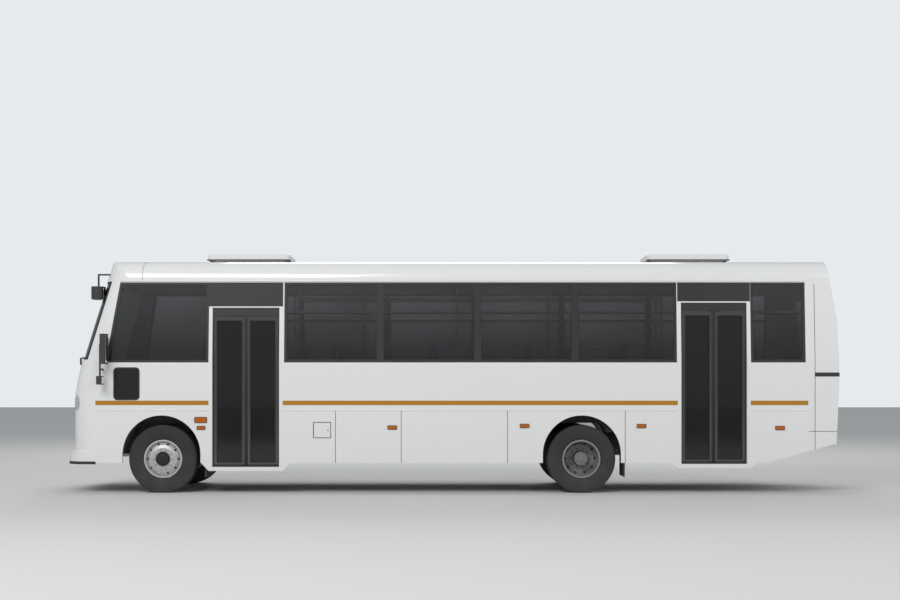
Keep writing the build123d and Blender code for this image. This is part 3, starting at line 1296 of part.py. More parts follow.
# Wipers parked along the foot of the windscreen
WIPER_Z = 2100
BLADE_SET = 16
with BuildPart() as wipers:
    nose = nose_x(WIPER_Z) - BLADE_SET
    reach = HALF_WIDTH - 40
    with BuildSketch(Plane.XY.offset(WIPER_Z)):
        with BuildLine():
            ThreePointArc((nose + FRONT_BOW, -reach), (nose, 0), (nose + FRONT_BOW, reach))
            offset(amount=8, side=Side.BOTH)
        make_face()
        with Locations((nose, 0)):
            Rectangle(400, 120, mode=Mode.SUBTRACT)
        for sign in (-1, 1):
            with Locations((nose + FRONT_BOW, sign * (reach - 60))):
                Rectangle(400, 300, mode=Mode.SUBTRACT)
    extrude(amount=14)
    for sign in (-1, 1):
        low_x = nose_x(2010)
        add(block(low_x - 60, low_x + 120, sign * 560 - 14, sign * 560 + 14, 2000, 2026))
        add(block(low_x - 60, low_x - 36, sign * 560 - 14, sign * 560 + 14, 2000, WIPER_Z + 14))
        add(block(low_x - 60, nose + 60, sign * 560 - 14, sign * 560 + 14, WIPER_Z, WIPER_Z + 14))
    add(outer_form, mode=Mode.SUBTRACT)
keep(wipers.part, "wipers")
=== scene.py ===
from math import atan2, cos, pi, radians, sin

import bpy
from mathutils import Matrix, Vector


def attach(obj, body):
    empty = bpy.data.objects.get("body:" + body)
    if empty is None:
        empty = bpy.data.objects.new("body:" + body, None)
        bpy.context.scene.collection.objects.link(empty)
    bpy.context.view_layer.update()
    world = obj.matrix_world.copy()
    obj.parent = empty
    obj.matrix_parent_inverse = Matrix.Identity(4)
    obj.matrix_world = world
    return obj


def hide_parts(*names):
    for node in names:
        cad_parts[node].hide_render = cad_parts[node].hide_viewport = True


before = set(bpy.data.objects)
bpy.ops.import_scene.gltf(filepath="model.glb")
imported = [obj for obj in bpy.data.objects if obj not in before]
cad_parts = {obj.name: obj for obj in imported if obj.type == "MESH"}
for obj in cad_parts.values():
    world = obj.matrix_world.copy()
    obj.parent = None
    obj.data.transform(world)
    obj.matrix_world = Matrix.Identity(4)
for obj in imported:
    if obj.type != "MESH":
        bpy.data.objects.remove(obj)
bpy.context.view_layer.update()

SIDES = (("left", -1), ("right", 1))

# The studio: a wide pale floor under pale air, a large soft lamp high on the door side, a smaller one
# towards the tail and one from behind. The camera stands square to the door side, 20 m off.
FLOOR_SIDE = 240
FLOOR_TONES = ((0.66, 0.66, 0.65, 1), (0.70, 0.70, 0.69, 1))
LIGHTING_AIR, LIGHTING_STRENGTH = (0.86, 0.89, 0.93, 1), 0.5
SEEN_AIR, SEEN_STRENGTH = (0.80, 0.82, 0.85, 1), 1.0
LAMPS = (
    ("key_lamp", (-9, -17, 14), (0, 0, 1.2), 14, 8, 2000),
    ("fill_lamp", (15.5, -14, 10), (1, 0, 1.5), 10, 8, 850),
    ("back_lamp", (0, 16, 14), (0, 0, 1.5), 14, 8, 1200),
)
EYE_PLACE, EYE_LENS, EYE_SHIFT, EYE_REACH = (0.002, -21.28, 1.55), 51.76, 0.1034, 400
bpy.ops.object.select_all(action="DESELECT")
bpy.ops.mesh.primitive_plane_add(size=FLOOR_SIDE, location=(0, 0, 0))
ground = bpy.context.object
ground.name = "studio_ground"
floor_paint = bpy.data.materials.new("studio_floor_paint")
floor_paint.use_nodes = True
floor_nodes = floor_paint.node_tree.nodes
floor_links = floor_paint.node_tree.links
floor_shader = floor_nodes["Principled BSDF"]
floor_shader.inputs["Roughness"].default_value = 0.9
floor_grain = floor_nodes.new("ShaderNodeTexNoise")
floor_grain.inputs["Scale"].default_value = 3.0
floor_grain.inputs["Detail"].default_value = 8.0
floor_tone = floor_nodes.new("ShaderNodeValToRGB")
for element, tone in zip(floor_tone.color_ramp.elements, FLOOR_TONES):
    element.color = tone
floor_links.new(floor_grain.outputs["Fac"], floor_tone.inputs["Fac"])
floor_links.new(floor_tone.outputs["Color"], floor_shader.inputs["Base Color"])
ground.data.materials.append(floor_paint)

sky = bpy.data.worlds.new("studio_air")
bpy.context.scene.world = sky
sky.use_nodes = True
sky_nodes, sky_links = sky.node_tree.nodes, sky.node_tree.links
soft_air = sky_nodes["Background"]
seen_air = sky_nodes.new("ShaderNodeBackground")
for air, tone, strength in ((soft_air, LIGHTING_AIR, LIGHTING_STRENGTH), (seen_air, SEEN_AIR, SEEN_STRENGTH)):
    air.inputs["Color"].default_value = tone
    air.inputs["Strength"].default_value = strength
seen_by = sky_nodes.new("ShaderNodeLightPath")
air_choice = sky_nodes.new("ShaderNodeMixShader")
sky_links.new(seen_by.outputs["Is Camera Ray"], air_choice.inputs["Fac"])
sky_links.new(soft_air.outputs["Background"], air_choice.inputs[1])
sky_links.new(seen_air.outputs["Background"], air_choice.inputs[2])
sky_links.new(air_choice.outputs["Shader"], sky_nodes["World Output"].inputs["Surface"])

for lamp_name, place, aim, wide, high, watts in LAMPS:
    lamp_data = bpy.data.lights.new(lamp_name, "AREA")
    lamp_data.shape = "RECTANGLE"
    lamp_data.size, lamp_data.size_y = wide, high
    lamp_data.energy = watts
    lamp = bpy.data.objects.new(lamp_name, lamp_data)
    lamp.location = place
    lamp.rotation_euler = (Vector(aim) - Vector(place)).to_track_quat("-Z", "Y").to_euler()
    bpy.context.collection.objects.link(lamp)

eye_data = bpy.data.cameras.new("photo_camera")
eye_data.sensor_width = 36.0
eye_data.lens = EYE_LENS
eye_data.shift_y = EYE_SHIFT
eye_data.clip_end = EYE_REACH
eye = bpy.data.objects.new("photo_camera", eye_data)
eye.location = EYE_PLACE
eye.rotation_euler = (radians(90), 0, 0)
bpy.context.collection.objects.link(eye)
bpy.context.scene.camera = eye
bpy.context.scene.view_settings.view_transform = "Standard"

# Chassis: two pressed steel channels with cross members, brush painted black and dusty from the road.
# The tanks, the silencer and the shaft hang from it, each in its own dull finish.
DUST_TONE, DUST_FOOT_Z = (0.32, 0.28, 0.23, 1), 0.1


def feed(tree, value, socket):
    """Sets a socket to a plain value, or links it to another node's output."""
    if isinstance(value, bpy.types.NodeSocket):
        tree.links.new(value, socket)
    else:
        socket.default_value = value


def calc(tree, operation, *values, clamp=False):
    """The result of a math node; each value is a number or an output."""
    made = tree.nodes.new("ShaderNodeMath")
    made.operation = operation
    made.use_clamp = clamp
    for value, socket in zip(values, made.inputs):
        feed(tree, value, socket)
    return made.outputs[0]


def spread(tree, value, low, high, first=0.0, last=1.0):
    """A value mapped from low and high to first and last, held at both ends."""
    made = tree.nodes.new("ShaderNodeMapRange")
    for given, label in ((value, "Value"), (low, "From Min"), (high, "From Max"), (first, "To Min"),
                         (last, "To Max")):
        feed(tree, given, made.inputs[label])
    return made.outputs["Result"]


def blend(tree, factor, first, second):
    """One colour turned into another by a factor."""
    made = tree.nodes.new("ShaderNodeMix")
    made.data_type = "RGBA"
    for value, label in ((factor, "Factor"), (first, 6), (second, 7)):
        feed(tree, value, made.inputs[label])
    return made.outputs[2]


def own_place(tree):
    """The place in the object's own coordinates."""
    return tree.nodes.new("ShaderNodeTexCoord").outputs["Object"]


def own_height(tree):
    """The height in the object's own coordinates."""
    split = tree.nodes.new("ShaderNodeSeparateXYZ")
    feed(tree, own_place(tree), split.inputs[0])
    return split.outputs["Z"]


def own_noise(tree, scale, detail):
    """Soft noise laid on the object's own coordinates."""
    made = tree.nodes.new("ShaderNodeTexNoise")
    for value, label in ((own_place(tree), "Vector"), (scale, "Scale"), (detail, "Detail")):
        feed(tree, value, made.inputs[label])
    return made.outputs["Fac"]


def road_wear():
    """Shader group: a base tone broken by soft blotches, with road dust that thins out with height."""
    group = bpy.data.node_groups.new("road_wear", "ShaderNodeTree")
    sockets = group.interface
    for label, kind, value in (
        ("Base", "NodeSocketColor", (0.5, 0.5, 0.5, 1)), ("Dust", "NodeSocketColor", DUST_TONE),
        ("Blotch Scale", "NodeSocketFloat", 3.0), ("Blotch Depth", "NodeSocketFloat", 0.08),
        ("Dust Top", "NodeSocketFloat", 0.9), ("Dust Amount", "NodeSocketFloat", 0.3),
        ("Roughness", "NodeSocketFloat", 0.5), ("Grain Scale", "NodeSocketFloat", 300.0),
    ):
        socket = sockets.new_socket(name=label, in_out="INPUT", socket_type=kind)
        socket.default_value = value
    for label, kind in (("Color", "NodeSocketColor"), ("Roughness", "NodeSocketFloat"),
                        ("Height", "NodeSocketFloat"), ("Dust Mask", "NodeSocketFloat")):
        sockets.new_socket(name=label, in_out="OUTPUT", socket_type=kind)
    given = group.nodes.new("NodeGroupInput").outputs
    result = group.nodes.new("NodeGroupOutput").inputs
    blotch = own_noise(group, given["Blotch Scale"], 6)
    shade = calc(group, "MULTIPLY_ADD", calc(group, "SUBTRACT", blotch, 0.5), given["Blotch Depth"], 1.0)
    tone = group.nodes.new("ShaderNodeVectorMath")
    tone.operation = "SCALE"
    feed(group, given["Base"], tone.inputs[0])
    feed(group, shade, tone.inputs["Scale"])
    low_down = spread(group, own_height(group), DUST_FOOT_Z, given["Dust Top"], 1.0, 0.0)
    dusted = calc(group, "MULTIPLY", low_down, blotch)
    amount = calc(group, "MULTIPLY", dusted, given["Dust Amount"], clamp=True)
    rough = calc(group, "MULTIPLY_ADD", amount, 0.5, given["Roughness"], clamp=True)
    feed(group, blend(group, amount, tone.outputs["Vector"], given["Dust"]), result["Color"])
    feed(group, rough, result["Roughness"])
    feed(group, own_noise(group, given["Grain Scale"], 3), result["Height"])
    feed(group, amount, result["Dust Mask"])
    return group


wear_group = road_wear()


def finish(name, base, rough, dust=0.3, dust_top=0.9, grain=300.0, relief=0.1, blotch=3.0, depth=0.08,
           metal=0.0, coat=0.0, dust_tone=DUST_TONE):
    """A worn finish: the wear group feeds colour, roughness and a fine bump of one Principled shader."""
    made = bpy.data.materials.new(name)
    made.use_nodes = True
    nodes, links = made.node_tree.nodes, made.node_tree.links
    shader = nodes["Principled BSDF"]
    wear = nodes.new("ShaderNodeGroup")
    wear.node_tree = wear_group
    wear.name = "wear"
    for label, value in (("Base", (*base, 1)), ("Dust", dust_tone), ("Blotch Scale", blotch),
                         ("Blotch Depth", depth), ("Dust Top", dust_top), ("Dust Amount", dust),
                         ("Roughness", rough), ("Grain Scale", grain)):
        wear.inputs[label].default_value = value
    bump = nodes.new("ShaderNodeBump")
    bump.inputs["Strength"].default_value = relief
    bump.inputs["Distance"].default_value = 0.001
    links.new(wear.outputs["Color"], shader.inputs["Base Color"])
    links.new(wear.outputs["Roughness"], shader.inputs["Roughness"])
    links.new(wear.outputs["Height"], bump.inputs["Height"])
    links.new(bump.outputs["Normal"], shader.inputs["Normal"])
    shader.inputs["Metallic"].default_value = metal
    shader.inputs["Coat Weight"].default_value = coat
    shader.inputs["Coat Roughness"].default_value = 0.04
    return made


def dress(finish_made, *names):
    """Puts one finish on the named CAD pieces that this frame holds."""
    for name in names:
        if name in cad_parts:
            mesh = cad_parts[name].data
            mesh.materials.clear()
            mesh.materials.append(finish_made)


chassis_black = finish("chassis_black", (0.028, 0.028, 0.03), 0.55, dust=0.7, dust_top=1.2, relief=0.3)
dress(chassis_black, "chassis_frame", "cross_members", "propeller_shaft")
dress(finish("tank_paint", (0.05, 0.05, 0.055), 0.45, dust=0.6, dust_top=1.1), "tanks")
dress(finish("heat_dulled_steel", (0.22, 0.19, 0.16), 0.5, dust=0.5, dust_top=1.1, metal=0.8, blotch=9,
             depth=0.5), "exhaust")
dress(finish("engine_grey", (0.13, 0.14, 0.15), 0.5, dust=0.5, dust_top=1.4, blotch=7, depth=0.3),
      "engine_gearbox")

# Axles: forged front beam and cast rear housing, both painted black over a rough casting skin,
# with leaf springs clamped below the channels. The knuckles turn on the ends of the front beam.
dress(finish("forged_black", (0.045, 0.045, 0.048), 0.6, dust=0.9, dust_top=1.0, relief=0.5, grain=120),
      "front_axle", "rear_axle", "knuckle_left", "knuckle_right")

# Wheels: pressed steel discs welded into drop-well rims. The front ones are freshly silvered round
# a greasy black hub, the rear ones sit deep in the arch and are given a darker grey.
AXLE_FRONT_X, AXLE_REAR_X, AXLE_Z = -4.459, 2.041, 0.527
HUB_BLACK, HUB_TONE = 0.112, (0.035, 0.034, 0.033, 1)


def wheel_silver(name, base, axle_x, rough, dust, metal):
    """Silvered steel that turns nearly black within the hub's radius round the axle line."""
    made = finish(name, base, rough, dust=dust, dust_top=1.2, metal=metal, blotch=14, depth=0.3)
    tree = made.node_tree
    offset = tree.nodes.new("ShaderNodeVectorMath")
    offset.operation = "MULTIPLY_ADD"
    for value, socket in zip((own_place(tree), (1, 0, 1), (-axle_x, 0, -AXLE_Z)), offset.inputs):
        feed(tree, value, socket)
    reach = tree.nodes.new("ShaderNodeVectorMath")
    reach.operation = "LENGTH"
    feed(tree, offset.outputs["Vector"], reach.inputs[0])
    near = calc(tree, "LESS_THAN", reach.outputs["Value"], HUB_BLACK)
    hubbed = blend(tree, near, tree.nodes["wear"].outputs["Color"], HUB_TONE)
    feed(tree, hubbed, tree.nodes["Principled BSDF"].inputs["Base Color"])
    return made


front_silver = wheel_silver("front_wheel_silver", (0.56, 0.56, 0.565), AXLE_FRONT_X, 0.34, 0.25, 0.5)
rear_silver = wheel_silver("rear_wheel_grey", (0.27, 0.27, 0.275), AXLE_REAR_X, 0.45, 0.4, 0.4)
dress(front_silver, "front_wheel_left", "front_wheel_right")
dress(rear_silver, "rear_wheels_left", "rear_wheels_right")

# Road tyres: 1054 mm across, five ribs between four grooves, notched in the shoulders and in the ribs
# beside them, and a plain wall with a raised rib near the rim. One ring is moulded and copied.
TYRE_OUT, TYRE_HALF, TYRE_SIDES, SHOULDER_RUN = 0.527, 0.1375, 120, 0.018
FRONT_TYRE_Y, TWIN_OUTER_Y, TWIN_INNER_Y = 1.045, 1.075, 0.757
GROOVES, GROOVE_HALF, GROOVE_DEEP = (-0.072, -0.026, 0.026, 0.072), 0.005, 0.011
SHOULDER_FROM_Y, RIB_Y, RIB_HALF = 0.08, 0.049, 0.015
WALL_STEPS = ((0.012, 0.009), (0.030, 0.009), (0.045, 0.0), (0.014, 0.0015), (0.012, -0.0015),
              (0.075, -0.012), (0.035, -0.02))
tyre_rubber = finish("tyre_rubber", (0.024, 0.023, 0.022), 0.80, dust=0.32, dust_top=1.3, relief=0.5,
                     grain=500, blotch=5, depth=0.25, dust_tone=(0.17, 0.155, 0.135, 1))


def turn_to(mode):
    """Turns the active piece to edit mode or back to object mode."""
    bpy.ops.object.mode_set(mode=mode)


def take_all(kind, action="SELECT"):
    """In edit mode, selects or deselects every point, edge or face."""
    bpy.ops.mesh.select_mode(type=kind)
    bpy.ops.mesh.select_all(action=action)


def faces_where(test):
    """In edit mode, selects just the faces that pass the test."""
    take_all("FACE", "DESELECT")
    turn_to("OBJECT")
    for face in bpy.context.object.data.polygons:
        face.select = bool(test(face))
    turn_to("EDIT")


def inset_faces(test, steps, **how):
    """Insets the active piece's faces that pass the test, once for each thickness and depth."""
    turn_to("EDIT")
    faces_where(test)
    for thick, deep in steps:
        bpy.ops.mesh.inset(thickness=thick, depth=deep, **how)
    turn_to("OBJECT")


def pick(*pieces):
    """Selects just these pieces and makes the first one active."""
    bpy.ops.object.select_all(action="DESELECT")
    for piece in pieces:
        piece.select_set(True)
    bpy.context.view_layer.objects.active = pieces[0]


def start(primitive, name, scale=(1, 1, 1), **how):
    """Adds a named primitive and puts its place, turn and scale into its mesh."""
    bpy.ops.object.select_all(action="DESELECT")
    primitive(**how)
    made = bpy.context.object
    made.name = name
    made.scale = scale
    bpy.ops.object.transform_apply(location=True, rotation=True, scale=True)
    return made


def rest_in_place(piece, finish_made, smooth=35):
    """Closes a piece's seams, points its faces outward and gives it its finish."""
    pick(piece)
    bpy.ops.object.transform_apply(location=True, rotation=True, scale=True)
    turn_to("EDIT")
    bpy.ops.mesh.select_all(action="SELECT")
    bpy.ops.mesh.remove_doubles(threshold=0.00005)
    bpy.ops.mesh.normals_make_consistent(inside=False)
    turn_to("OBJECT")
    if smooth:
        bpy.ops.object.shade_smooth_by_angle(angle=radians(smooth))
    piece.data.materials.clear()
    piece.data.materials.append(finish_made)


def another(piece, name, move):
    """A copy with its own mesh, moved by a matrix; a mirrored one gets its faces turned back."""
    twin = piece.copy()
    twin.data = piece.data.copy()
    twin.name = name
    bpy.context.collection.objects.link(twin)
    bpy.context.view_layer.update()
    twin.data.transform(move)
    if move.determinant() < 0:
        twin.data.flip_normals()
    return twin


def joined(name, pieces):
    """Joins pieces into the first one, under one name."""
    pick(*pieces)
    if len(pieces) > 1:
        bpy.ops.object.join()
    pieces[0].name = name
    return pieces[0]


road_tyre = start(bpy.ops.mesh.primitive_cylinder_add, "road_tyre", vertices=TYRE_SIDES, radius=TYRE_OUT,
                  depth=2 * (TYRE_HALF - SHOULDER_RUN), end_fill_type="NGON", rotation=(pi / 2, 0, 0))
inset_faces(lambda face: len(face.vertices) > 4, WALL_STEPS)
turn_to("EDIT")
bpy.ops.mesh.delete(type="FACE")
take_all("EDGE", "DESELECT")
bpy.ops.mesh.select_non_manifold()
bpy.ops.mesh.bridge_edge_loops()
for groove in GROOVES:
    for edge_y in (groove - GROOVE_HALF, groove + GROOVE_HALF):
        bpy.ops.mesh.select_all(action="SELECT")
        bpy.ops.mesh.bisect(plane_co=(0, edge_y, 0), plane_no=(0, 1, 0))
turn_to("OBJECT")


def on_tread(face, every=1):
    """Whether a face lies on the tread, on one of every so many of the ring's sides."""
    radius = (face.center.x ** 2 + face.center.z ** 2) ** 0.5
    side_number = int((pi + atan2(face.center.x, face.center.z)) / (2 * pi) * TYRE_SIDES)
    return radius > TYRE_OUT - 0.006 and abs(face.normal.y) < 0.3 and side_number % every == 0


def in_groove(face):
    """Whether a face is the floor of a groove."""
    return on_tread(face) and any(abs(face.center.y - groove) < GROOVE_HALF for groove in GROOVES)


inset_faces(in_groove, ((0.0008, -GROOVE_DEEP),))
inset_faces(lambda face: on_tread(face, 3) and abs(face.center.y) > SHOULDER_FROM_Y,
            ((0.004, -0.008),), use_individual=True)
inset_faces(lambda face: on_tread(face, 4) and abs(abs(face.center.y) - RIB_Y) < RIB_HALF,
            ((0.008, -0.006),), use_individual=True)
rest_in_place(road_tyre, tyre_rubber, smooth=28)


def tyre_at(name, x, y):
    """The moulded ring moved to a wheel's middle."""
    return another(road_tyre, name, Matrix.Translation((x, y, AXLE_Z)))


for side, sign in SIDES:
    front_ring = tyre_at(f"front_road_tyre_{side}", AXLE_FRONT_X, sign * FRONT_TYRE_Y)
    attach(front_ring, f"front_{side}_wheel")
    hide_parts(f"front_tyre_{side}")
    outer_ring = tyre_at(f"rear_road_tyres_{side}", AXLE_REAR_X, sign * TWIN_OUTER_Y)
    inner_ring = tyre_at("inner_ring", AXLE_REAR_X, sign * TWIN_INNER_Y)
    twin_rings = joined(f"rear_road_tyres_{side}", [outer_ring, inner_ring])
    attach(twin_rings, f"rear_{side}_wheels")
    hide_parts(f"rear_tyres_{side}")
bpy.data.objects.remove(road_tyre)

# Wheel nuts: ten cone nuts on each wheel's stud circle round a stepped cap over the bearings. The
# front ring stands proud, the rear ring sits on the half shaft's flange.
STUDS, STUD_CIRCLE, NUT_RADIUS, NUT_TALL = 10, 0.148, 0.017, 0.022
NUT_STEPS = ((0.25, 0.16), (0.12, 0), (0.05, 0.35))
CAP_STEPS = ((0.08, 0.006), (0.12, 0.0), (0.03, -0.005), (0.3, 0.004), (0.08, 0.008))
FRONT_FACE_Y, FRONT_CAP_RADIUS, FRONT_CAP_TALL = FRONT_TYRE_Y + 0.128, 0.094, 0.050
REAR_FACE_Y, REAR_CAP_RADIUS, REAR_CAP_TALL = 0.930, 0.106, 0.180


def faces_up(face):
    """Whether a face looks up."""
    return face.normal.z > 0.9


def nut_ring(name, at_x, face_y, sign, cap_radius, cap_tall, metal_finish):
    """Nuts and a hub cap made about Z, then turned to face out from the wheel."""
    pieces = []
    for step in range(STUDS):
        turn = radians(360 * step / STUDS)
        place = (STUD_CIRCLE * cos(turn), STUD_CIRCLE * sin(turn), NUT_TALL / 2)
        pieces.append(start(bpy.ops.mesh.primitive_cylinder_add, "nut", vertices=6, radius=NUT_RADIUS,
                            depth=NUT_TALL, location=place, rotation=(0, 0, turn)))
        inset_faces(faces_up, [(NUT_RADIUS * thick, NUT_RADIUS * deep) for thick, deep in NUT_STEPS])
    pieces.append(start(bpy.ops.mesh.primitive_cylinder_add, "cap", vertices=40, radius=cap_radius,
                        depth=cap_tall, location=(0, 0, cap_tall / 2)))
    inset_faces(faces_up, [(cap_radius * thick, deep) for thick, deep in CAP_STEPS])
    ring = joined(name, pieces)
    ring.data.transform(Matrix.Translation((at_x, face_y, AXLE_Z)) @ Matrix.Rotation(-sign * pi / 2, 4, "X"))
    rest_in_place(ring, metal_finish, smooth=30)
    return ring


nut_steel = finish("nut_steel", (0.55, 0.55, 0.55), 0.3, dust=0.3, dust_top=1.2, metal=0.8, blotch=30,
                   depth=0.3)
dull_steel = finish("dull_hub_steel", (0.20, 0.20, 0.205), 0.5, dust=0.5, dust_top=1.2, metal=0.5,
                    blotch=30, depth=0.4)
for side, sign in SIDES:
    front_nuts = nut_ring(f"front_wheel_nuts_{side}", AXLE_FRONT_X, sign * FRONT_FACE_Y, sign,
                          FRONT_CAP_RADIUS, FRONT_CAP_TALL, front_silver)
    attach(front_nuts, f"front_{side}_wheel")
    rear_nuts = nut_ring(f"rear_wheel_nuts_{side}", AXLE_REAR_X, sign * REAR_FACE_Y, sign,
                         REAR_CAP_RADIUS, REAR_CAP_TALL, dull_steel)
    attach(rear_nuts, f"rear_{side}_wheels")

# Floor and steps: plywood under a grey speckled anti-slip sheet. Each tread's edge is held down by
# an aluminium nosing with four ribs along it.
STEP_RUNS = ((-3.665, -2.65), (3.589, 4.585))
TREAD_EDGES = ((-0.855, 0.765), (-0.565, 1.12))
NOSING_THICK, NOSING_DROP, NOSING_LIFT = 0.012, 0.030, 0.003
NOSING_RIBS, RIB_FROM, RIB_PITCH, RIB_SIZE = 4, 0.006, 0.009, 0.004
anti_slip = finish("anti_slip_sheet", (0.15, 0.155, 0.16), 0.75, dust=0.3, dust_top=1.6, relief=0.8, grain=900,
                   blotch=40, depth=0.6)
dress(anti_slip, "floor", "step_wells", "wheel_houses")
nosing_metal = finish("nosing_metal", (0.62, 0.62, 0.60), 0.35, dust=0.2, metal=0.9, blotch=20, depth=0.2)


def bevel_all(offset, steps=1):
    """In edit mode, rounds every edge of the active piece."""
    take_all("EDGE")
    bpy.ops.mesh.bevel(offset=offset, segments=steps, affect="EDGES")


def bar(name, low, high, round_by=0.002, steps=1):
    """A bar between two corners with its edges rounded, modelled from a cube at that size."""
    middle = [(a + b) / 2 for a, b in zip(low, high)]
    size = [b - a for a, b in zip(low, high)]
    made = start(bpy.ops.mesh.primitive_cube_add, name, size, size=1, location=middle)
    if round_by:
        turn_to("EDIT")
        bevel_all(round_by, steps)
        turn_to("OBJECT")
    return made


def settle(name, pieces, finish_made, body="root", smooth=35):
    """Joins pieces, gives them their finish and hangs them on a body."""
    one = joined(name, pieces)
    rest_in_place(one, finish_made, smooth)
    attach(one, body)
    return one


nosings = []
for x0, x1 in STEP_RUNS:
    for y, z in TREAD_EDGES:
        nosings.append(bar("nosing", (x0, y - NOSING_THICK, z - NOSING_DROP), (x1, y, z + NOSING_LIFT)))
        for rib in range(NOSING_RIBS):
            rib_y = y + RIB_FROM + rib * RIB_PITCH
            nosings.append(bar("rib", (x0, rib_y, z), (x1, rib_y + RIB_SIZE, z + RIB_SIZE), 0.001))
settle("step_nosings", nosings, nosing_metal)

# Side walls: stretched galvanised sheet over a tube frame, white gloss with one mustard stripe. The
# skirt below the long moulding is made of flaps, so thin dark gaps part it from top to foot.
STRIPE_Z, STRIPE_HALF, STRIPE_TONE = 1.398, 0.035, (0.44, 0.20, 0.001, 1)
WALL_OUT = 1.280
MOULDING_RUNS = {"left": ((-5.48, -3.734), (-2.581, 3.520), (4.654, 5.541)), "right": ((-5.48, 5.541),)}
MOULDING_LOW_Z, MOULDING_HIGH_Z, MOULDING_PROUD = 1.274, 1.298, 0.006
GAP_PLACES = {"left": (-1.768, -0.752, 0.892, 2.711), "right": (-3.25, -1.768, -0.752, 0.892, 2.711, 4.25)}
GAP_FOOT_Z, GAP_TOP_Z, GAP_HALF, GAP_SUNK, GAP_PROUD, GAP_ROUND = 0.472, 1.272, 0.004, 0.001, 0.0015, 0.0004
FILLER_LOW, FILLER_HIGH, FILLER_GAP = (-2.108, 0.859), (-1.842, 1.096), 0.006


def gloss_paint(name, base, stripe=False):
    """White coach paint with a clear coat; with stripe, the mustard band is laid on by height."""
    made = finish(name, base, 0.22, dust=0.16, dust_top=1.1, relief=0.03, grain=60, blotch=1.2, depth=0.03,
                  coat=0.55)
    if not stripe:
        return made
    tree = made.node_tree
    inside = calc(tree, "COMPARE", own_height(tree), STRIPE_Z, STRIPE_HALF)
    banded = blend(tree, inside, tree.nodes["wear"].outputs["Color"], STRIPE_TONE)
    feed(tree, banded, tree.nodes["Principled BSDF"].inputs["Base Color"])
    return made


def on_side(sign, inner, outer):
    """Two distances from the middle plane as the low and the high Y of one side."""
    return sorted((sign * inner, sign * outer))


def border(low, high, wide, lap=0):
    """Corners of four strips round a rectangle, laid along its low edge, its high edge and its ends."""
    (u0, v0), (u1, v1) = low, high
    return (((u0 - wide, v0 - wide), (u1 + wide, v0)), ((u0 - wide, v1), (u1 + wide, v1 + wide)),
            ((u0 - wide, v0 - lap), (u0, v1 + lap)), ((u1, v0 - lap), (u1 + wide, v1 + lap)))


coach_white = (0.80, 0.80, 0.79)
dress(gloss_paint("striped_side_paint", coach_white, stripe=True), "side_wall_left", "side_wall_right")
panel_white = gloss_paint("panel_white_paint", coach_white)
dress(panel_white, "front_mask", "front_bumper", "rear_panel", "roof", "door_surrounds",
      "door_sills", "filler_flap", "roof_hatch_front", "roof_hatch_rear")
gap_black = finish("gap_sealant", (0.05, 0.05, 0.05), 0.7, dust=0.3, dust_top=1.4)
for side, sign in SIDES:
    ys = on_side(sign, WALL_OUT, WALL_OUT + MOULDING_PROUD)
    mouldings = [bar("moulding", (x0, ys[0], MOULDING_LOW_Z), (x1, ys[1], MOULDING_HIGH_Z), 0.0028, 2)
                 for x0, x1 in MOULDING_RUNS[side]]
    settle(f"side_moulding_{side}", mouldings, panel_white)
    ys = on_side(sign, WALL_OUT - GAP_SUNK, WALL_OUT + GAP_PROUD)
    corners = [((x - GAP_HALF, GAP_FOOT_Z), (x + GAP_HALF, GAP_TOP_Z)) for x in GAP_PLACES[side]]
    if side == "left":
        corners.extend(border(FILLER_LOW, FILLER_HIGH, FILLER_GAP))
    gaps = [bar("gap", (low[0], ys[0], low[1]), (high[0], ys[1], high[1]), GAP_ROUND)
            for low, high in corners]
    settle(f"skirt_gaps_{side}", gaps, gap_black)

# Window band: black satin frames behind the wall's edge hold dark tinted panes, with a narrow
# hopper light over each. The panes are painted paler high up, a painted reflection of the sky.
satin_black = finish("satin_black_frame", (0.022, 0.022, 0.024), 0.42, dust=0.12, dust_top=3.4, relief=0.1,
                     dust_tone=(0.12, 0.12, 0.12, 1))
dress(satin_black, "window_frames_left", "window_frames_right", "door_headers", "grille", "wipers")


def tinted_glass(name, low_tone, high_tone, through, low_z=2.05, high_z=3.25):
    """Dark glass whose tone rises with height in soft patches, a painted reflection on the side panes; part of
    the light goes through.
    """
    made = bpy.data.materials.new(name)
    made.use_nodes = True
    tree = made.node_tree
    shader = tree.nodes["Principled BSDF"]
    # The tone changes with height and soft noise: on the side, rear and door panes this is a painted
    # reflection of the sky.
    rise = spread(tree, own_height(tree), low_z, high_z)
    tone = tree.nodes.new("ShaderNodeValToRGB")
    tone.color_ramp.elements[0].color = (*low_tone, 1)
    tone.color_ramp.elements[1].color = (*high_tone, 1)
    tone.color_ramp.elements[1].position = 0.55
    feed(tree, calc(tree, "MULTIPLY", rise, own_noise(tree, 0.8, 5)), tone.inputs["Fac"])
    for value, label in ((tone.outputs["Color"], "Base Color"), (0.04, "Roughness"), (1.5, "IOR"),
                         (through, "Transmission Weight")):
        feed(tree, value, shader.inputs[label])
    return made


# Side, rear and door panes are painted paler high up, a painted reflection of the sky; the windscreen is
# darker towards its head.
side_tint = tinted_glass("side_tint", (0.11, 0.11, 0.115), (0.36, 0.365, 0.37), 0.92)
door_tint = tinted_glass("door_tint", (0.008, 0.008, 0.009), (0.022, 0.023, 0.025), 0.6, 0.4, 2.8)
screen_tint = tinted_glass("screen_tint", (0.20, 0.22, 0.22), (0.10, 0.12, 0.13), 0.92, 2.1, 3.3)
dress(side_tint, "side_glass_left", "side_glass_right", "rear_window")
dress(screen_tint, "windscreen")


def frame_ring(name, low, high, width, round_by=0.0015):
    """A flat rectangular ring that faces along Y, from a cube whose middle is cut out and bridged."""
    made = bar(name, low, high, 0)
    turn_to("EDIT")
    faces_where(lambda face: abs(face.normal.y) > 0.9)
    bpy.ops.mesh.inset(thickness=width, depth=0)
    bpy.ops.mesh.bridge_edge_loops()
    bevel_all(round_by)
    turn_to("OBJECT")
    return made


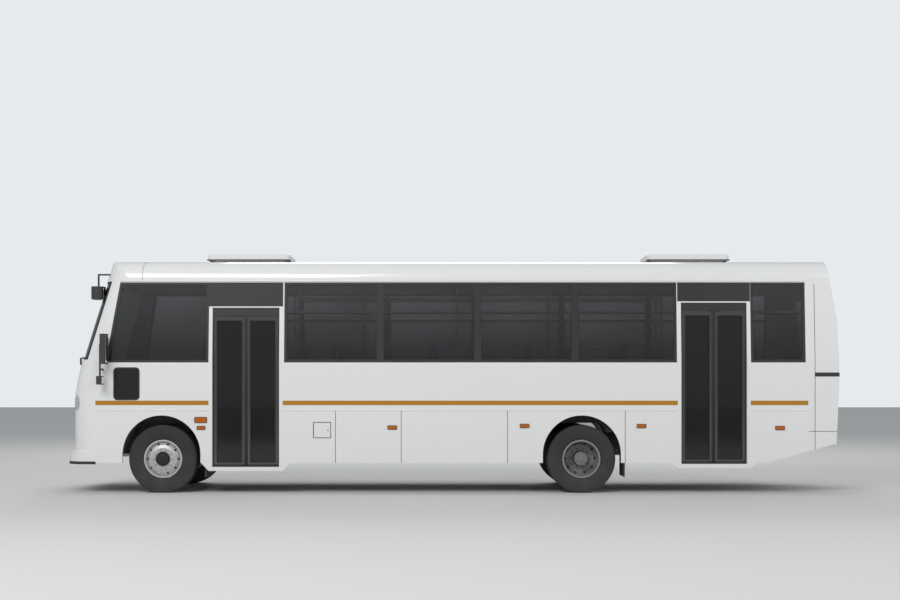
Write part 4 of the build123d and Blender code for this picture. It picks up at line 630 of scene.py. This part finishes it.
# Glazing rubber: a black bead round each pane of the band, pressed in between frame and glass. The
# beads are made upright, then leaned in with the wall.
rubber_black = finish("glazing_rubber", (0.018, 0.018, 0.018), 0.6, dust=0.15, dust_top=3.3,
                      dust_tone=(0.10, 0.10, 0.10, 1))
SKIN_LEAN, LEAN_FROM_Z = 0.0604, 2.053
PITCH, FIRST, HALF_POST, BAR = 1.507, -1.078, 0.0525, 0.040
BAND_SPANS = {"left": ((-2.564, 3.511), (4.654, 5.501)), "right": ((-3.626, 4.549), (4.654, 5.501))}
LONE_PANE = 1.5
BEAD_IN, BEAD_OUT, BEAD_LOW_Z, BEAD_HIGH_Z, BEAD_WIDE = 1.2650, 1.2700, 2.063, 2.789, 0.010
posts = [FIRST + PITCH * step for step in range(-1, 4)]
for side, sign in SIDES:
    beads = []
    ys = on_side(sign, BEAD_IN, BEAD_OUT)
    for x0, x1 in BAND_SPANS[side]:
        inside = [x for x in posts if x1 - x0 > LONE_PANE and x0 + 2 * HALF_POST < x < x1 - 2 * HALF_POST]
        edges = [x0 + BAR] + [x for post in inside for x in (post - HALF_POST, post + HALF_POST)] + [x1 - BAR]
        for left, right in zip(edges[::2], edges[1::2]):
            low, high = (left, ys[0], BEAD_LOW_Z), (right, ys[1], BEAD_HIGH_Z)
            beads.append(frame_ring("bead", low, high, BEAD_WIDE))
    bead_set = settle(f"glazing_beads_{side}", beads, rubber_black, smooth=0)
    lean = Matrix.Identity(4)
    lean[1][2], lean[1][3] = -sign * SKIN_LEAN, sign * SKIN_LEAN * LEAN_FROM_Z
    bead_set.data.transform(lean)

# Kerb window and side lamps: the low pane by the driver's kerb side sits in a rounded rubber. The
# amber lamps have a black foot round each lens, which is moulded in small flutes.


def rounded_ring(name, low, high, width, corner, steps=5):
    """A ring that faces along Y with rounded corners, from a cube whose upright corners are bevelled."""
    made = bar(name, low, high, 0)
    turn_to("EDIT")
    take_all("EDGE", "DESELECT")
    turn_to("OBJECT")
    points = made.data.vertices
    for edge in made.data.edges:
        first, last = (points[index].co for index in edge.vertices)
        edge.select = abs(first.y - last.y) > 0.5 * (high[1] - low[1])
    turn_to("EDIT")
    bpy.ops.mesh.bevel(offset=corner, segments=steps, affect="EDGES")
    faces_where(lambda face: abs(face.normal.y) > 0.9)
    bpy.ops.mesh.inset(thickness=width, depth=0)
    bpy.ops.mesh.bridge_edge_loops()
    turn_to("OBJECT")
    return made


KERB_LOW, KERB_HIGH = (-5.202, -1.2835, 1.439), (-4.795, -1.2700, 1.948)
KERB_RUBBER_WIDE, KERB_CORNER = 0.024, 0.062
kerb_rubber = rounded_ring("kerb_window_rubber", KERB_LOW, KERB_HIGH, KERB_RUBBER_WIDE, KERB_CORNER, 6)
settle("kerb_window_rubber", [kerb_rubber], rubber_black)
AMBER_TONE = (0.62, 0.17, 0.012)
amber = tinted_glass("amber_lens", AMBER_TONE, AMBER_TONE, 0.25, 0.5, 2.0)
amber_tree = amber.node_tree
flutes = amber_tree.nodes.new("ShaderNodeTexWave")
flutes.inputs["Scale"].default_value = 60
flute_bump = amber_tree.nodes.new("ShaderNodeBump")
flute_bump.inputs["Strength"].default_value = 0.5
flute_bump.inputs["Distance"].default_value = 0.002
feed(amber_tree, own_place(amber_tree), flutes.inputs["Vector"])
feed(amber_tree, flutes.outputs["Fac"], flute_bump.inputs["Height"])
feed(amber_tree, flute_bump.outputs["Normal"], amber_tree.nodes["Principled BSDF"].inputs["Normal"])
dress(amber, "side_lamps")
SIDE_LAMPS = ((-3.851, 1.134, 0.185, 0.080), (-3.846, 1.011, 0.120, 0.048), (-0.890, 1.017, 0.135, 0.052),
              (1.155, 1.042, 0.135, 0.052), (2.962, 1.040, 0.135, 0.052), (5.103, 1.009, 0.135, 0.052))
FOOT_EDGE, FOOT_SUNK, FOOT_PROUD = 0.007, 0.001, 0.008
for side, sign in SIDES:
    feet = []
    ys = on_side(sign, WALL_OUT - FOOT_SUNK, WALL_OUT + FOOT_PROUD)
    for x, z, wide, high in SIDE_LAMPS:
        reach_x, reach_z = wide / 2 + FOOT_EDGE, high / 2 + FOOT_EDGE
        feet.append(rounded_ring("lamp_foot", (x - reach_x, ys[0], z - reach_z),
                                 (x + reach_x, ys[1], z + reach_z), 0.008, high / 4))
    settle(f"side_lamp_feet_{side}", feet, rubber_black)

# Folding doors: two dark grey leaves a doorway, each a welded frame round one full pane. A rubber
# holds the pane, soft lips close the gap between the leaves, and a brush strip hangs at the foot.
door_grey = finish("door_grey_satin", (0.045, 0.045, 0.047), 0.38, dust=0.35, dust_top=1.4, relief=0.08,
                   coat=0.2)
dress(door_grey, "front_door_leaf_a", "front_door_leaf_b", "rear_door_leaf_a", "rear_door_leaf_b")
dress(door_tint, "front_door_leaf_a_glass", "front_door_leaf_b_glass", "rear_door_leaf_a_glass",
      "rear_door_leaf_b_glass")
LEAF_OUT, LEAF_IN = -1.222, -1.188
FRONT_FOOT_Z, FRONT_HEAD_Z, REAR_FOOT_Z, REAR_HEAD_Z = 0.414, 2.741, 0.461, 2.820
LEAVES = (
    ("front", "a", -3.669, -3.1605, FRONT_FOOT_Z, FRONT_HEAD_Z, 1),
    ("front", "b", -3.1545, -2.646, FRONT_FOOT_Z, FRONT_HEAD_Z, -1),
    ("rear", "a", 3.585, 4.084, REAR_FOOT_Z, REAR_HEAD_Z, 1),
    ("rear", "b", 4.090, 4.589, REAR_FOOT_Z, REAR_HEAD_Z, -1),
)
STILE, HEAD_RAIL, PANE_RUBBER_WIDE, PANE_CORNER = 0.052, 0.060, 0.014, 0.02
SEAL_SUNK, SEAL_START, LIP_WIDE, EDGE_WIDE, SEAL_END = 0.001, 0.0005, 0.026, 0.014, 0.010
BRUSH_END, BRUSH_FROM, BRUSH_TOP = 0.012, 0.001, 0.034
RAIL_UP, RAIL_END, RAIL_TALL, RAIL_IN, RAIL_OUT = 0.92, 0.03, 0.045, 0.004, 0.010
RAIL_FOOT_WIDE, RAIL_FOOT_LOW, RAIL_FOOT_HIGH, RAIL_FOOT_ENDS = 0.016, 0.008, 0.037, (0.034, 0.050)
for place, leaf, x0, x1, z0, z1, lip_side in LEAVES:
    seals = [rounded_ring("pane_rubber", (x0 + STILE, LEAF_OUT - 0.003, z0 + STILE),
                          (x1 - STILE, LEAF_OUT + SEAL_SUNK, z1 - HEAD_RAIL), PANE_RUBBER_WIDE,
                          PANE_CORNER, 4)]
    meet_x, far_x = (x1, x0) if lip_side > 0 else (x0, x1)
    lip_x = sorted((meet_x - lip_side * SEAL_START, meet_x - lip_side * LIP_WIDE))
    edge_x = sorted((far_x + lip_side * SEAL_START, far_x + lip_side * EDGE_WIDE))
    for seal, xs, low_z, high_z, proud, round_by, steps in (
        ("lip", lip_x, z0 + SEAL_END, z1 - SEAL_END, 0.004, 0.0018, 2),
        ("edge", edge_x, z0 + SEAL_END, z1 - SEAL_END, 0.003, 0.0012, 1),
        ("foot", (x0 + BRUSH_END, x1 - BRUSH_END), z0 + BRUSH_FROM, z0 + BRUSH_TOP, 0.004, 0.0015, 1),
    ):
        seals.append(bar(seal, (xs[0], LEAF_OUT - proud, low_z), (xs[1], LEAF_OUT + SEAL_SUNK, high_z),
                         round_by, steps))
    settle(f"{place}_door_{leaf}_rubbers", seals, rubber_black, body=f"{place}_door_{leaf}")
    rail_z = z0 + RAIL_UP
    inner = [bar("push_rail", (x0 + RAIL_END, LEAF_IN + RAIL_IN, rail_z),
                 (x1 - RAIL_END, LEAF_IN + RAIL_OUT, rail_z + RAIL_TALL), 0.002, 2)]
    for foot_x in (x0 + RAIL_FOOT_ENDS[0], x1 - RAIL_FOOT_ENDS[1]):
        inner.append(bar("rail_foot", (foot_x, LEAF_IN - 0.002, rail_z + RAIL_FOOT_LOW),
                         (foot_x + RAIL_FOOT_WIDE, LEAF_IN + 0.006, rail_z + RAIL_FOOT_HIGH), 0.001))
    settle(f"{place}_door_{leaf}_rail", inner, nosing_metal, body=f"{place}_door_{leaf}")


def peeled(name, node, planes, facing, lift=0.001, thick=0.003):
    """A strip of a CAD skin kept behind each (point, normal) plane, lifted off and given a thickness."""
    strip = bpy.data.objects.new(name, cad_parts[node].data.copy())
    bpy.context.collection.objects.link(strip)
    pick(strip)
    turn_to("EDIT")
    take_all("VERT")
    bpy.ops.mesh.remove_doubles(threshold=0.00005)
    for point, normal in planes:
        bpy.ops.mesh.select_all(action="SELECT")
        bpy.ops.mesh.bisect(plane_co=point, plane_no=normal, clear_outer=True)
    faces_where(lambda face: not facing(face))
    bpy.ops.mesh.delete(type="FACE")
    bpy.ops.mesh.select_all(action="SELECT")
    bpy.ops.transform.shrink_fatten(value=lift)
    turn_to("OBJECT")
    wall = strip.modifiers.new("wall", "SOLIDIFY")
    wall.thickness = thick
    wall.offset = 1
    bpy.ops.object.modifier_apply(modifier="wall")
    return strip


def outward(middle_x):
    """A test for faces that look away from the upright line through the given X."""
    def looks_away(face):
        return face.normal.dot(Vector((face.center.x - middle_x, face.center.y, 0)).normalized()) > 0.05
    return looks_away


def between(axis, low, high):
    """Two planes that keep what lies between low and high on one axis."""
    unit = Vector([float(step == axis) for step in range(3)])
    return [(unit * low, -unit), (unit * high, unit)]


# Roof: pressed crown panels between a moulded front cap and the tail, with a sealed joint behind the
# cap. A gutter runs along the top of each wall, over windows and doors.
CAP_JOINT_LOW_X, CAP_JOINT_HIGH_X, GUTTER_TOP_Z, CROWN_CENTRE_Z = -4.777, -4.769, 3.30, 1.5
GUTTER_IN, GUTTER_OUT, GUTTER_FRONT_X, GUTTER_REAR_X = 1.2040, 1.2170, -5.12, 5.50
GUTTER_LOW_Z, GUTTER_HIGH_Z = 3.283, 3.299
sealant = finish("roof_sealant", (0.30, 0.30, 0.29), 0.7, dust=0.0, relief=0.4)


def on_crown(face):
    """Whether a roof face above the gutters looks up and outward."""
    away = Vector((0, face.center.y, face.center.z - CROWN_CENTRE_Z))
    return face.normal.z > 0.05 and face.center.z > GUTTER_TOP_Z and face.normal.dot(away) > 0


cap_joint = peeled("roof_cap_joint", "roof", between(0, CAP_JOINT_LOW_X, CAP_JOINT_HIGH_X), on_crown, 0.0004,
                   0.0012)
settle("roof_cap_joint", [cap_joint], sealant)
for side, sign in SIDES:
    ys = on_side(sign, GUTTER_IN, GUTTER_OUT)
    gutter = bar("gutter", (GUTTER_FRONT_X, ys[0], GUTTER_LOW_Z), (GUTTER_REAR_X, ys[1], GUTTER_HIGH_Z),
                 0.003, 2)
    settle(f"roof_gutter_{side}", [gutter], panel_white)

# Roof hatches: a moulded lid on a raised kerb, hinged at one end. A black seal runs round its foot
# and rides with the lid.
HATCHES = (("front", -3.905, -2.585), ("rear", 3.180, 4.500))
HATCH_HALF, HATCH_SEAL_LOW_Z, HATCH_SEAL_HIGH_Z, HATCH_SEAL_WIDE = 0.440, 3.687, 3.703, 0.004
for end, x0, x1 in HATCHES:
    strips = border((x0, -HATCH_HALF), (x1, HATCH_HALF), HATCH_SEAL_WIDE, 0.001)
    foot = [bar("seal", (*low, HATCH_SEAL_LOW_Z), (*high, HATCH_SEAL_HIGH_Z), 0.0012) for low, high in strips]
    settle(f"{end}_hatch_seal", foot, rubber_black, body=f"{end}_hatch")

# Front: the windscreen lies in a black rubber, two round lamps sit behind each flush lens, and the
# bumper carries fog lamps in its round openings, a rubber foot and a blank plate.
SCREEN_RUBBER = 0.026
screen_points = [point.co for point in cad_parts["windscreen"].data.vertices]
SCREEN_LOW_Z, SCREEN_HIGH_Z = min(point.z for point in screen_points), max(point.z for point in screen_points)
foot_end_x = max(point.x for point in screen_points if point.z < SCREEN_LOW_Z + 0.004)
head_end_x = max(point.x for point in screen_points if point.z > SCREEN_HIGH_Z - 0.004)
screen_edge = Vector((head_end_x - foot_end_x, 0, SCREEN_HIGH_Z - SCREEN_LOW_Z)).normalized()
across_edge = Vector((screen_edge.z, 0, -screen_edge.x))
seen_front = outward(-4.2)
foot_plane = (Vector((0, 0, SCREEN_LOW_Z + SCREEN_RUBBER)), Vector((0, 0, 1)))
head_plane = (Vector((0, 0, SCREEN_HIGH_Z - SCREEN_RUBBER)), Vector((0, 0, -1)))
end_plane = (Vector((foot_end_x, 0, SCREEN_LOW_Z)) - SCREEN_RUBBER * across_edge, -across_edge)
rubber_parts = [peeled("rubber", "windscreen", [plane], seen_front, 0.0005, 0.008)
                for plane in (foot_plane, head_plane, end_plane)]
settle("windscreen_rubber", rubber_parts, rubber_black)
CLEAR_TONE = (0.72, 0.74, 0.75)
lens_clear = tinted_glass("headlamp_lens", CLEAR_TONE, CLEAR_TONE, 0.35, 0.5, 2.0)
lamp_chrome = finish("lamp_chrome", (0.75, 0.76, 0.77), 0.12, dust=0.1, metal=1.0, relief=0.02)
dress(lens_clear, "headlamps")


def round_planes(y, z, radius, sides=20):
    """Planes that keep a round patch seen from the front."""
    made = []
    for step in range(sides):
        way = Vector((0, cos(2 * pi * step / sides), sin(2 * pi * step / sides)))
        made.append((Vector((0, y, z)) + radius * way, way))
    return made


HEADLAMP_YS, HEADLAMP_Z, RING_RADIUS, LENS_RADIUS = (0.885, 1.090), 1.400, 0.094, 0.080
rings, lenses = [], []
for sign in (-1, 1):
    for y in HEADLAMP_YS:
        for radius, lift, thick, kept in ((RING_RADIUS, 0.0004, 0.003, rings),
                                          (LENS_RADIUS, 0.003, 0.004, lenses)):
            patch = round_planes(sign * y, HEADLAMP_Z, radius)
            kept.append(peeled("lamp", "headlamps", patch, seen_front, lift, thick))
settle("headlamp_rings", rings, lamp_chrome)
settle("headlamp_lenses", lenses, lens_clear)
VALANCE_LOW_Z, VALANCE_HIGH_Z = 0.449, 0.492
valance = peeled("bumper_foot_rubber", "front_bumper", between(2, VALANCE_LOW_Z, VALANCE_HIGH_Z),
                 lambda face: seen_front(face) and abs(face.normal.z) < 0.9, 0.0005, 0.004)
settle("bumper_foot_rubber", [valance], rubber_black)


def nose_at(node, y, z):
    """Where a line from the front meets a CAD piece."""
    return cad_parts[node].ray_cast(Vector((-8, y, z)), Vector((1, 0, 0)))[1].x


FOG_Y, FOG_Z, FOG_OPENING, FOG_RADIUS, FOG_DEEP, FOG_SET_IN = 0.900, 0.835, 0.075, 0.058, 0.050, 0.040
FOG_STEPS = ((0.004, 0.004), (0.004, 0.0), (0.001, -0.010), (0.016, 0.004), (0.016, 0.002))
PLATE_HALF, PLATE_TALL, FRONT_PLATE_Z, REAR_PLATE_Z = 0.26, 0.11, 0.745, 1.045
fogs = []
for sign in (-1, 1):
    rim_x = min(nose_at("front_bumper", sign * (FOG_Y + way * FOG_OPENING), FOG_Z) for way in (-1, 1))
    fogs.append(start(bpy.ops.mesh.primitive_cylinder_add, "fog", vertices=36, radius=FOG_RADIUS,
                      depth=FOG_DEEP, location=(rim_x + FOG_SET_IN, sign * FOG_Y, FOG_Z),
                      rotation=(0, -pi / 2, 0)))
    inset_faces(lambda face: face.normal.x < -0.9, FOG_STEPS)
settle("fog_lamps", fogs, lens_clear)
plate_white = finish("blank_plate", (0.62, 0.62, 0.60), 0.4, dust=0.2, relief=0.05)
plate_x = nose_at("front_bumper", 0, 0.80)
front_plate = bar("front_blank_plate", (plate_x - 0.008, -PLATE_HALF, FRONT_PLATE_Z),
                  (plate_x + 0.006, PLATE_HALF, FRONT_PLATE_Z + PLATE_TALL), 0.003, 2)
settle("front_blank_plate", [front_plate], plate_white)

# Rear: a black band crosses below the window, panel joints part the lower shell, and upright lamp
# units carry amber, red and clear sections. The plate above the bumper is blank.
seen_rear = outward(4.6)


def behind(x):
    """A plane that keeps what lies behind the given X."""
    return (Vector((x, 0, 0)), Vector((-1, 0, 0)))


BAND_LOW_Z, BAND_HIGH_Z, BAND_FROM_X = 1.807, 1.868, 5.645
JOINT_LOW_Z, JOINT_HIGH_Z, JOINT_FROM_X = 0.953, 0.961, 5.545
CORNER_LOW_X, CORNER_HIGH_X, CORNER_LOW_Z, CORNER_HIGH_Z = 5.641, 5.649, 0.66, 3.24
band_planes = between(2, BAND_LOW_Z, BAND_HIGH_Z) + [behind(BAND_FROM_X)]
rear_band = peeled("rear_black_band", "rear_panel", band_planes, seen_rear, 0.0004, 0.004)
settle("rear_black_band", [rear_band], satin_black)
joint_planes = (between(2, JOINT_LOW_Z, JOINT_HIGH_Z) + [behind(JOINT_FROM_X)],
                between(0, CORNER_LOW_X, CORNER_HIGH_X) + between(2, CORNER_LOW_Z, CORNER_HIGH_Z))
joints = [peeled("joint", "rear_panel", planes, seen_rear, 0.0002, 0.001) for planes in joint_planes]
settle("rear_panel_joints", joints, gap_black)
TAIL_RED, TAIL_FOOT_Z, TAIL_TOP_Z, TAIL_BARS = (0.5, 0.02, 0.012), 1.317, 1.637, (1.394, 1.528)
tail_lens = tinted_glass("tail_lamp_lens", TAIL_RED, TAIL_RED, 0.15, 1.3, 1.65)
tail_tree = tail_lens.node_tree
tail_ramp = tail_tree.nodes.new("ShaderNodeValToRGB")
tail_ramp.color_ramp.interpolation = "CONSTANT"
tail_ramp.color_ramp.elements[0].color = (0.66, 0.67, 0.67, 1)
tail_ramp.color_ramp.elements[1].position = 0.24
tail_ramp.color_ramp.elements[1].color = (0.45, 0.012, 0.010, 1)
amber_part = tail_ramp.color_ramp.elements.new(0.66)
amber_part.color = (*AMBER_TONE, 1)
tail_rise = spread(tail_tree, own_height(tail_tree), TAIL_FOOT_Z, TAIL_TOP_Z)
feed(tail_tree, tail_rise, tail_ramp.inputs["Fac"])
feed(tail_tree, tail_ramp.outputs["Color"], tail_tree.nodes["Principled BSDF"].inputs["Base Color"])
dress(tail_lens, "tail_lamps")
bars = [peeled("lamp_bar", "tail_lamps", between(2, z - 0.004, z + 0.004), lambda face: face.normal.x > 0.3,
               0.0002, 0.002) for z in TAIL_BARS]
settle("tail_lamp_bars", bars, rubber_black)
tail_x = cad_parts["rear_panel"].ray_cast(Vector((8, 0, 1.10)), Vector((-1, 0, 0)))[1].x
rear_plate = bar("rear_blank_plate", (tail_x - 0.006, -PLATE_HALF, REAR_PLATE_Z),
                 (tail_x + 0.006, PLATE_HALF, REAR_PLATE_Z + PLATE_TALL), 0.003, 2)
settle("rear_blank_plate", [rear_plate], plate_white)

# Mirrors: black moulded heads on bent tube arms, each with a silvered glass that looks back. The
# small one over the screen looks down at the front corner.
mirror_black = finish("mirror_moulding", (0.028, 0.028, 0.030), 0.5, dust=0.15, dust_top=3.3, relief=0.3,
                      grain=400)
dress(mirror_black, "mirrors")
silvered = finish("silvered_glass", (0.82, 0.83, 0.84), 0.03, dust=0.0, metal=1.0, relief=0.0)
MIRROR_Y = 1.440
SIDE_MIRRORS = ((-5.2590, 0.085, 2.020, 2.432), (-5.3240, 0.072, 1.694, 1.798))
CORNER_MIRROR_LOW, CORNER_MIRROR_HIGH = (-5.424, -1.03, 3.045), (-5.420, -0.87, 3.190)
glasses = []
for x, half, z0, z1 in SIDE_MIRRORS:
    for sign in (-1, 1):
        glasses.append(bar("mirror_glass", (x - 0.003, sign * MIRROR_Y - half, z0),
                           (x + 0.002, sign * MIRROR_Y + half, z1), 0.0015, 2))
glasses.append(bar("mirror_glass", CORNER_MIRROR_LOW, CORNER_MIRROR_HIGH, 0.0015, 2))
settle("mirror_glasses", glasses, silvered)

# Filler flap: a small turned lock in a flush plate near its free edge, on the flap's own body.
LOCK_PLACE, LOCK_RADIUS, LOCK_TALL = (-1.885, -1.2815, 0.978), 0.016, 0.004
lock = start(bpy.ops.mesh.primitive_cylinder_add, "flap_lock", vertices=28, radius=LOCK_RADIUS,
             depth=LOCK_TALL, location=LOCK_PLACE, rotation=(pi / 2, 0, 0))
inset_faces(lambda face: face.normal.y < -0.9, ((0.003, 0.0012), (0.004, 0.0), (0.001, -0.002)))
settle("flap_lock", [lock], nut_steel, body="filler_lid")

# Inside, seen through the glass: grained grey dashboard and engine cover, steel poles, and benches
# for two with padded cloth seats on steel legs.
moulded_grey = finish("moulded_grey", (0.12, 0.12, 0.125), 0.6, dust=0.0, relief=0.5, grain=260)
dress(moulded_grey, "dashboard", "engine_cover")
dress(finish("wheel_rim_plastic", (0.025, 0.025, 0.026), 0.45, dust=0.0, relief=0.3), "steering_wheel")
bright_tube = finish("bright_tube", (0.60, 0.60, 0.60), 0.25, dust=0.0, metal=0.9, relief=0.03)
dress(bright_tube, "grab_rails")
dress(finish("flap_rubber", (0.030, 0.030, 0.030), 0.7, dust=0.7, dust_top=0.9, relief=0.4), "mud_flaps")
seat_cloth = finish("seat_cloth", (0.060, 0.085, 0.16), 0.9, dust=0.0, relief=0.8, grain=700, blotch=60,
                    depth=0.5)


def pad(name, middle, size, pitch, seam):
    """A stuffed pad: a cube cut into panels with sunk seams, rounded by subdivision, then leaned back."""
    made = start(bpy.ops.mesh.primitive_cube_add, name, size, size=1, location=(0, 0, 0))
    turn_to("EDIT")
    take_all("EDGE")
    bpy.ops.mesh.bisect(plane_co=(0, 0, 0), plane_no=(0, 1, 0))
    bevel_all(seam, 2)
    faces_where(lambda face: max(face.normal) > 0.98 and face.area > 0.02)
    bpy.ops.mesh.inset(thickness=seam, depth=-0.004)
    bpy.ops.mesh.inset(thickness=seam, depth=0.012)
    turn_to("OBJECT")
    soft = made.modifiers.new("soft", "SUBSURF")
    soft.levels = soft.render_levels = 1
    bpy.ops.object.modifier_apply(modifier="soft")
    made.data.transform(Matrix.Translation(middle) @ Matrix.Rotation(pitch, 4, "Y"))
    return made


SEAT_PITCH, BENCH_Y, SEAT_FLOOR_Z, CUSHION_TILT, BACK_TILT = 0.755, 0.755, 1.12, 0.03, 0.176
LEFT_FIRST_X, LEFT_ROWS, RIGHT_FIRST_X, RIGHT_ROWS = -2.35, 7, -3.05, 11
RAIL_Z, RAIL_MIDDLE, SIDE_RAIL_Y = (0.372, 0.398), (0.555, 0, 0.80), 0.425
HANDLE_HALF, HANDLE_REACH, HANDLE_PLACE = 0.014, 0.43, (0.620, 0, 1.185)
bench_cushion = pad("cushion", (0.235, 0, 0.440), (0.43, 0.84, 0.095), CUSHION_TILT, 0.018)
bench_back = pad("back", (0.520, 0, 0.820), (0.095, 0.84, 0.72), BACK_TILT, 0.018)
legs = [bar("leg", (0.16, -0.32, 0), (0.34, -0.28, 0.40), 0.006, 2)]
for y0, y1 in ((-0.40, -0.36), (0.36, 0.40)):
    legs.append(bar("rail", (0.08, y0, RAIL_Z[0]), (0.40, y1, RAIL_Z[1]), 0.004))
for y in (-SIDE_RAIL_Y, SIDE_RAIL_Y):
    rail = bar("side_rail", (-0.011, y - 0.008, -0.38), (0.011, y + 0.008, 0.38), 0.004, 2)
    rail.data.transform(Matrix.Translation(RAIL_MIDDLE) @ Matrix.Rotation(BACK_TILT, 4, "Y"))
    legs.append(rail)
handle = bar("handle", (-HANDLE_HALF, -HANDLE_REACH, -HANDLE_HALF),
             (HANDLE_HALF, HANDLE_REACH, HANDLE_HALF), 0.009, 2)
handle.data.transform(Matrix.Translation(HANDLE_PLACE))
legs.append(handle)
bench_frame = joined("bench_frame", legs)
kept = {"cushion": [], "back": [], "frame": []}
rows = [(RIGHT_FIRST_X + SEAT_PITCH * row, 1) for row in range(RIGHT_ROWS)]
rows += [(LEFT_FIRST_X + SEAT_PITCH * row, -1) for row in range(LEFT_ROWS)]
for x, sign in rows:
    place = Matrix.Translation((x, sign * BENCH_Y, SEAT_FLOOR_Z)) @ Matrix.Diagonal((1, sign, 1, 1))
    for key, piece in (("cushion", bench_cushion), ("back", bench_back), ("frame", bench_frame)):
        kept[key].append(another(piece, key, place))
for piece in (bench_cushion, bench_back, bench_frame):
    bpy.data.objects.remove(piece)
bench_cushions = settle("bench_cushions", kept["cushion"], seat_cloth, smooth=60)
bench_backs = settle("bench_backs", kept["back"], seat_cloth, smooth=60)
settle("bench_frames", kept["frame"], bright_tube)
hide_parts("passenger_seats")
DRIVER_Y = 0.76
driver_cushion = pad("driver_cushion", (-4.44, DRIVER_Y, 1.730), (0.47, 0.47, 0.11), CUSHION_TILT, 0.02)
driver_back = pad("driver_back", (-4.145, DRIVER_Y, 2.110), (0.11, 0.47, 0.72), BACK_TILT, 0.02)
settle("driver_cushion", [driver_cushion], seat_cloth, smooth=60)
settle("driver_back", [driver_back], seat_cloth, smooth=60)
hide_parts("driver_seat")
stand = [bar("box", (-4.60, 0.60, 1.29), (-4.29, 0.92, 1.50), 0.01, 2),
         bar("post", (-4.52, 0.68, 1.50), (-4.37, 0.84, 1.67), 0.006, 2),
         bar("pan", (-4.64, 0.56, 1.665), (-4.25, 0.96, 1.680), 0.004)]
settle("driver_seat_stand", stand, moulded_grey)
